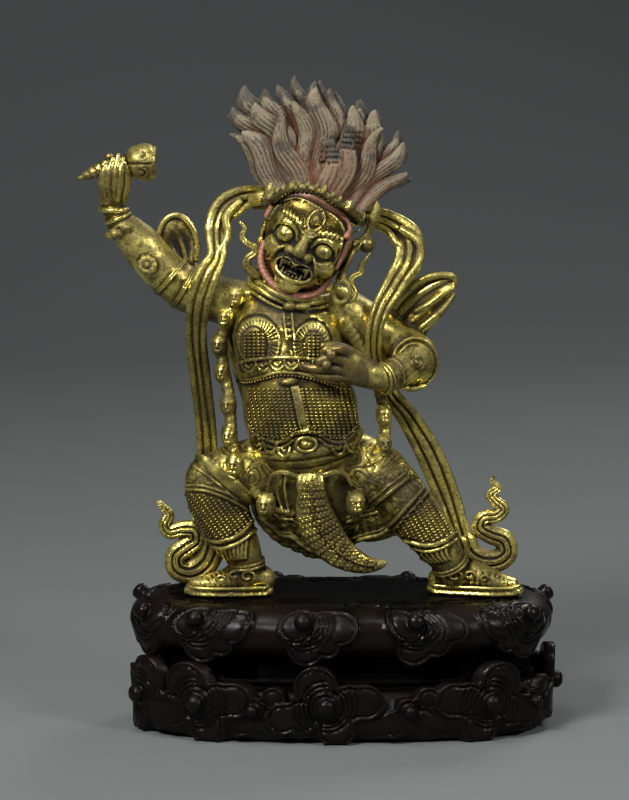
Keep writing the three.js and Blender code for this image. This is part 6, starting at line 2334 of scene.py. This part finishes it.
    def build_foot(self) -> None:
        """Builds the waist and foot with the windows cut through, and the ring of clouds round them."""
        clay = Clay((-79, -49, -1), (92, 49, 33), 1.08 * self.cell, Coat.WOOD)
        self.slab(clay, self.waist, blend=2)
        self.slab(clay, self.foot)
        self.slab(clay, self.hollow, cut=True)
        for angle in self.windows:
            at, away = self.on_rim(angle, 23.5, -12)
            axes = facing_axes(away)
            cells, x, y, z = clay.window(at - 16, at + 16)
            x, y, z = x - at[0], y - at[1], z - at[2]
            right, up, out = (axes[0][i] * x + axes[1][i] * y + axes[2][i] * z for i in range(3))
            block = np.maximum(np.maximum(np.abs(right) - 6, np.abs(up) - 4.5), np.abs(out) - 12)
            clay.lay(cells, block.astype(np.float32), 0.6, cut=True)
        for level in (20.6, 28.4):
            rail = [(*self.on_rim(a, level, -8.8)[0], 0.9) for a in range(0, 361, 6)]
            clay.stroke(rail, facing=UP, blend=0.4)
        # Painted shade in the waist.
        self.darken(clay, -6, 15)
        for clouds in (self.small, self.lower):
            for angle, hand in clouds.knobs:
                self.cloud(clay, clouds, angle, hand)
        clay.slice_below(0.05)
        clay.piece("stand_foot", 0.3, STAND, Slot.WOOD)

    def darken(self, clay: Clay, out: float, above: float) -> None:
        """Paints shade on the wood that lies within that many mm outside the rim and above a height: the
        darker, duller finish on the table's top and in the waist.
        """
        window = clay.whole()
        _, x, y, z = window
        clay.stain(window, Coat.SHADE, (self.outside(x, y) < out) & (z > above))

    def seat(self, clay: Clay) -> None:
        """Cuts shallow scrolls and nested arcs round the edge of the table's top."""
        scrolls = ((-118, 5), (-86, 5.6), (-62, 5), (-44, 4.4), (-140, 4.4), (-8, 4.6), (170, 4.4), (30, 4.6),
                   (62, 5), (90, 5.4), (120, 5), (146, 4.6))
        for angle, size in scrolls:
            at, away = self.on_rim(angle, self.top + 0.2, -13.5)
            side = np.array([-away[1], away[0], 0])
            lines = [(size * scale, 1.5, 0.95, np.linspace(0.3, sweep, 14))
                     for scale, sweep in ((1.0, 5.4), (0.58, 4.4))]
            lines += [(size * 1.2 + 1.5 * k, 1.6, 0.8, np.linspace(-0.9, 0.9, 9)) for k in range(3)]
            for reach, stretch, radius, turns in lines:
                line = [(*(at + reach * (stretch * math.cos(t) * side + math.sin(t) * away)), radius)
                        for t in turns]
                clay.stroke(line, facing=UP, blend=0.2, cut=True)

    def level_seat(self, clay: Clay) -> None:
        """Keeps the clouds off the flat of the table where the figure stands."""
        cells, x, y, z = clay.window((-70, -30, self.top - 2), (84, 30, 62))
        oval = np.sqrt(((x - self.middle) / 63) ** 2 + (y / 23.5) ** 2)
        block = np.maximum((oval - 1) * 23.5, self.top - z)
        clay.lay(cells, block.astype(np.float32), 0.6, cut=True)

    def build(self) -> None:
        """Builds the stand."""
        self.build_table()
        self.build_foot()


@dataclass(frozen=True)
class Lamp:
    """One soft round light: where it hangs and how wide it is, in metres, and its watts."""

    name: str
    place: tuple[float, float, float]
    size: float
    watts: float


@dataclass
class Studio:
    """The pale floor, the soft lights and the camera."""

    floor_half: float = 2.56
    floor_front: float = -1.4
    floor_back: float = 0.9
    floor_bend: float = 0.6
    wall_top: float = 1.6
    floor_drop: float = 0.0004
    floor_colour: tuple[int, int, int] = (108, 113, 112)
    world: float = 0.052
    aim: tuple[float, float, float] = (0.0, 0.0, 0.12)
    lamps: tuple[Lamp, ...] = (
        Lamp("key", (-0.34, -0.52, 0.64), 0.22, 6.2), Lamp("fill", (0.5, -0.45, 0.56), 0.19, 2.3),
        Lamp("rim", (0.45, 0.7, 0.75), 0.4, 3), Lamp("top", (-0.15, -0.1, 1.0), 0.35, 2.6))

    def floor(self) -> None:
        """Lays a floor that curves up far behind."""
        far, bend = self.floor_back, self.floor_bend
        profile = [(self.floor_front, 0.0), (far, 0.0)]
        profile += [(far + bend * math.sin(t), bend - bend * math.cos(t))
                    for t in np.linspace(0.2, math.pi / 2, 8)]
        profile.append((far + bend, self.wall_top))
        points = [(side * self.floor_half, y, z - self.floor_drop) for y, z in profile for side in (-1, 1)]
        faces = [(2 * i, 2 * i + 1, 2 * i + 3, 2 * i + 2) for i in range(len(profile) - 1)]
        mesh = bpy.data.meshes.new("studio_floor")
        mesh.from_pydata(points, [], faces)
        mesh.shade_smooth()
        material = bpy.data.materials.new("Pale floor")
        material.use_nodes = True
        shader = material.node_tree.nodes["Principled BSDF"]
        shader.inputs["Base Color"].default_value = paint(*self.floor_colour)
        shader.inputs["Roughness"].default_value = 0.8
        mesh.materials.append(material)
        floor = bpy.data.objects.new("studio_floor", mesh)
        bpy.context.scene.collection.objects.link(floor)

    def light(self, lamp: Lamp) -> None:
        """Hangs one lamp, facing the middle of the object."""
        data = bpy.data.lights.new(lamp.name, "AREA")
        data.shape, data.size, data.energy = "DISK", lamp.size, lamp.watts
        light = bpy.data.objects.new(lamp.name, data)
        light.location = lamp.place
        toward = Vector(self.aim) - Vector(lamp.place)
        light.rotation_euler = toward.to_track_quat("-Z", "Y").to_euler()
        bpy.context.scene.collection.objects.link(light)

    def camera(self) -> None:
        """Sets the camera where the viewer stands."""
        data = bpy.data.cameras.new("camera")
        data.lens, data.sensor_width, data.clip_start, data.clip_end = SIGHT.lens, 36.0, 0.01, 20.0
        camera = bpy.data.objects.new("camera", data)
        camera.location = Vector(SIGHT.eye()) * MM
        camera.rotation_euler = (math.radians(90 - SIGHT.elevation), 0, 0)
        bpy.context.scene.collection.objects.link(camera)
        bpy.context.scene.camera = camera

    def build(self) -> None:
        """Builds the studio."""
        world = bpy.data.worlds.new("studio")
        world.use_nodes = True
        world.node_tree.nodes["Background"].inputs["Color"].default_value = (self.world,) * 3 + (1.0,)
        bpy.context.scene.world = world
        bpy.context.scene.view_settings.view_transform = "Standard"
        self.floor()
        for lamp in self.lamps:
            self.light(lamp)
        self.camera()


def legs() -> list[Leg]:
    """Returns both legs: the one that bends at the left, and the straight one at the right."""
    mail = StudField("figure_leg_mail", 0.8, 0.6, 0.6)
    bent = Leg(
        "figure_bent_leg", (-54, -27, 46), (-4, 12, 112),
        thigh=(
            (-8, 0, 94, 13, 12), (-23, -5, 93.5, 11.8, 11), (-35, -9.5, 92, 10.2, 10),
            (-41.6, -11, 89.8, 7.8, 8.4)),
        shin=(
            (-43, -12.6, 93, 6, 7), (-39.6, -11, 85.4, 9.8, 10), (-36.2, -9.6, 77, 10.2, 9.4),
            (-33.4, -8.8, 71.6, 9.0, 8.6), (-30.4, -7.9, 66.4, 7.4, 8.0), (-28.8, -7.4, 63, 6.5, 7.4),
            (-28, -7, 60.6, 6.2, 6.8), (-27.4, -6.4, 55, 6.2, 6.6)),
        shoe=(
            (-21, -6, 54.0, 4.6, 4.4), (-28, -6.2, 55, 6, 5.4), (-36.6, -6.6, 53.2, 5.6, 3.8),
            (-43.4, -7, 52.4, 4.4, 2.6), (-47, -7.2, 52.6, 2.6, 1.8)),
        heel=(-18.2, -6), toe=(-49.2, -7.2), mail_axis=((-42.4, 84.6), (-31.4, 69.0)),
        mail_area=(
            (-50, 84.0), (-43.2, 83.4), (-35.6, 80.8), (-30.2, 78.0), (-25.4, 74.9), (-26.6, 72.8),
            (-31, 69.2), (-37.6, 67.0), (-42.4, 67.6), (-48, 74)),
        hems=(
            (((-49.6, 85.2), (-43.2, 84.8), (-35.6, 82.2), (-30.2, 79.3), (-25.6, 76.2)), 0.55),
            (((-49.4, 86.8), (-43.0, 86.4), (-35.2, 83.8), (-29.6, 80.8), (-25.2, 77.8)), 0.45),
            (((-42.4, 66.8), (-37.7, 66.0), (-30.6, 68.6), (-25.4, 74.0)), 0.8),
            (((-40.0, 64.2), (-36.2, 63.6), (-30.0, 66.0), (-24.4, 70.6)), 0.7),
            (((-38.6, 104.4), (-34, 101.4), (-30.6, 96.4)), 0.6),
            (((-46.8, 97.4), (-41, 93.8), (-34.4, 88.0), (-28.8, 82.4), (-24.0, 77.6), (-21, 74)), 2.3,
             0.9),
            (((-47.2, 94.0), (-42.2, 90.6), (-36.6, 86.0), (-31.2, 81.0)), 0.4),
            (((-44.0, 99.0), (-37.6, 94.0), (-31.4, 88.6), (-25.4, 82.6)), 0.4)),
        chased=(((-50, -26, 86), (-12, -8, 106)),),
        fringe=tuple(
            ((-38.4 + 1.5 * i, 62.8 + 0.1 * i + 0.05 * i * i), (-36.6 + 1.2 * i, 59.4 + 0.1 * i))
            for i in range(8)),
        mail=mail)
    straight = Leg(
        "figure_straight_leg", (0, -25, 46), (76, 12, 114),
        thigh=(
            (2, 0, 97, 12, 12), (10, -2, 94.6, 12.4, 12.4), (19.5, -5.5, 90.5, 12, 11.4),
            (28.6, -8.6, 82, 10, 10), (33, -9, 77, 9.2, 9.4)),
        shin=(
            (28.6, -8.6, 82, 9.6, 10), (36.4, -9, 73, 8.8, 9.0), (40.4, -8.6, 67.8, 8.0, 8.2),
            (43.4, -7.8, 63.4, 6.8, 7.6), (45.2, -7, 60.4, 6.2, 6.8), (47.4, -5.4, 56, 6, 6.6)),
        shoe=(
            (41.6, -2.0, 53.0, 4.4, 4.2), (48.4, -3.6, 55, 6, 5.4), (56.4, -5.4, 54.4, 5.8, 4.8),
            (63, -6.6, 52.8, 4.8, 3.4), (68.2, -7.8, 52.2, 3.0, 2.2)),
        heel=(37.8, -1.2), toe=(70.8, -8.4), mail_axis=((31.6, 83.6), (42.0, 66.0)),
        mail_area=(
            (34.6, 82.6), (39.8, 80.4), (46, 74), (49.4, 69.8), (42.0, 67.0), (36.4, 66.0), (29.4, 67.8),
            (24.8, 69.8), (28.4, 74.2), (32.8, 79.4)),
        hems=(
            (((36.4, 86.0), (31.8, 80.6), (27.4, 75.6), (23.4, 71.4)), 0.8),
            (((37.8, 84.4), (33.2, 79.0), (28.8, 74.0), (24.6, 69.6)), 0.55),
            (((29.4, 66.4), (36.5, 64.6), (41.9, 65.6), (48.0, 69.2)), 0.85),
            (((30.6, 64.2), (36.8, 62.4), (42.2, 63.4), (48.2, 66.8)), 0.6),
            (((30.6, 89.4), (24.6, 84.6), (15.7, 77.4)), 0.9),
            (((29.4, 91.4), (23.4, 86.4), (14.6, 79.0)), 0.4)),
        chased=(((6, -26, 76), (38, -8, 106)),),
        fringe=tuple((
            (32.2 + 1.7 * i, 61.6 - 0.28 * i + 0.09 * i * i),
            (36.6 + 1.3 * i, 58.6 - 0.2 * i + 0.05 * i * i)) for i in range(8)),
        mail=mail)
    return [bent, straight]


def main() -> None:
    """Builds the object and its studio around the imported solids."""
    logging.basicConfig(level=logging.INFO, format="%(message)s")
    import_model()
    Studio().build()
    CloudStand().build()
    pair = legs()
    for leg in pair:
        leg.build()
    pair[0].mail.piece()
    Skirt().build()
    Trunk().build()
    Garland().build()
    RaisedArm().build()
    BentArm().build()
    Scarf().build()
    Head().build()
    Hair().build()


if __name__ == "__main__":
    main()
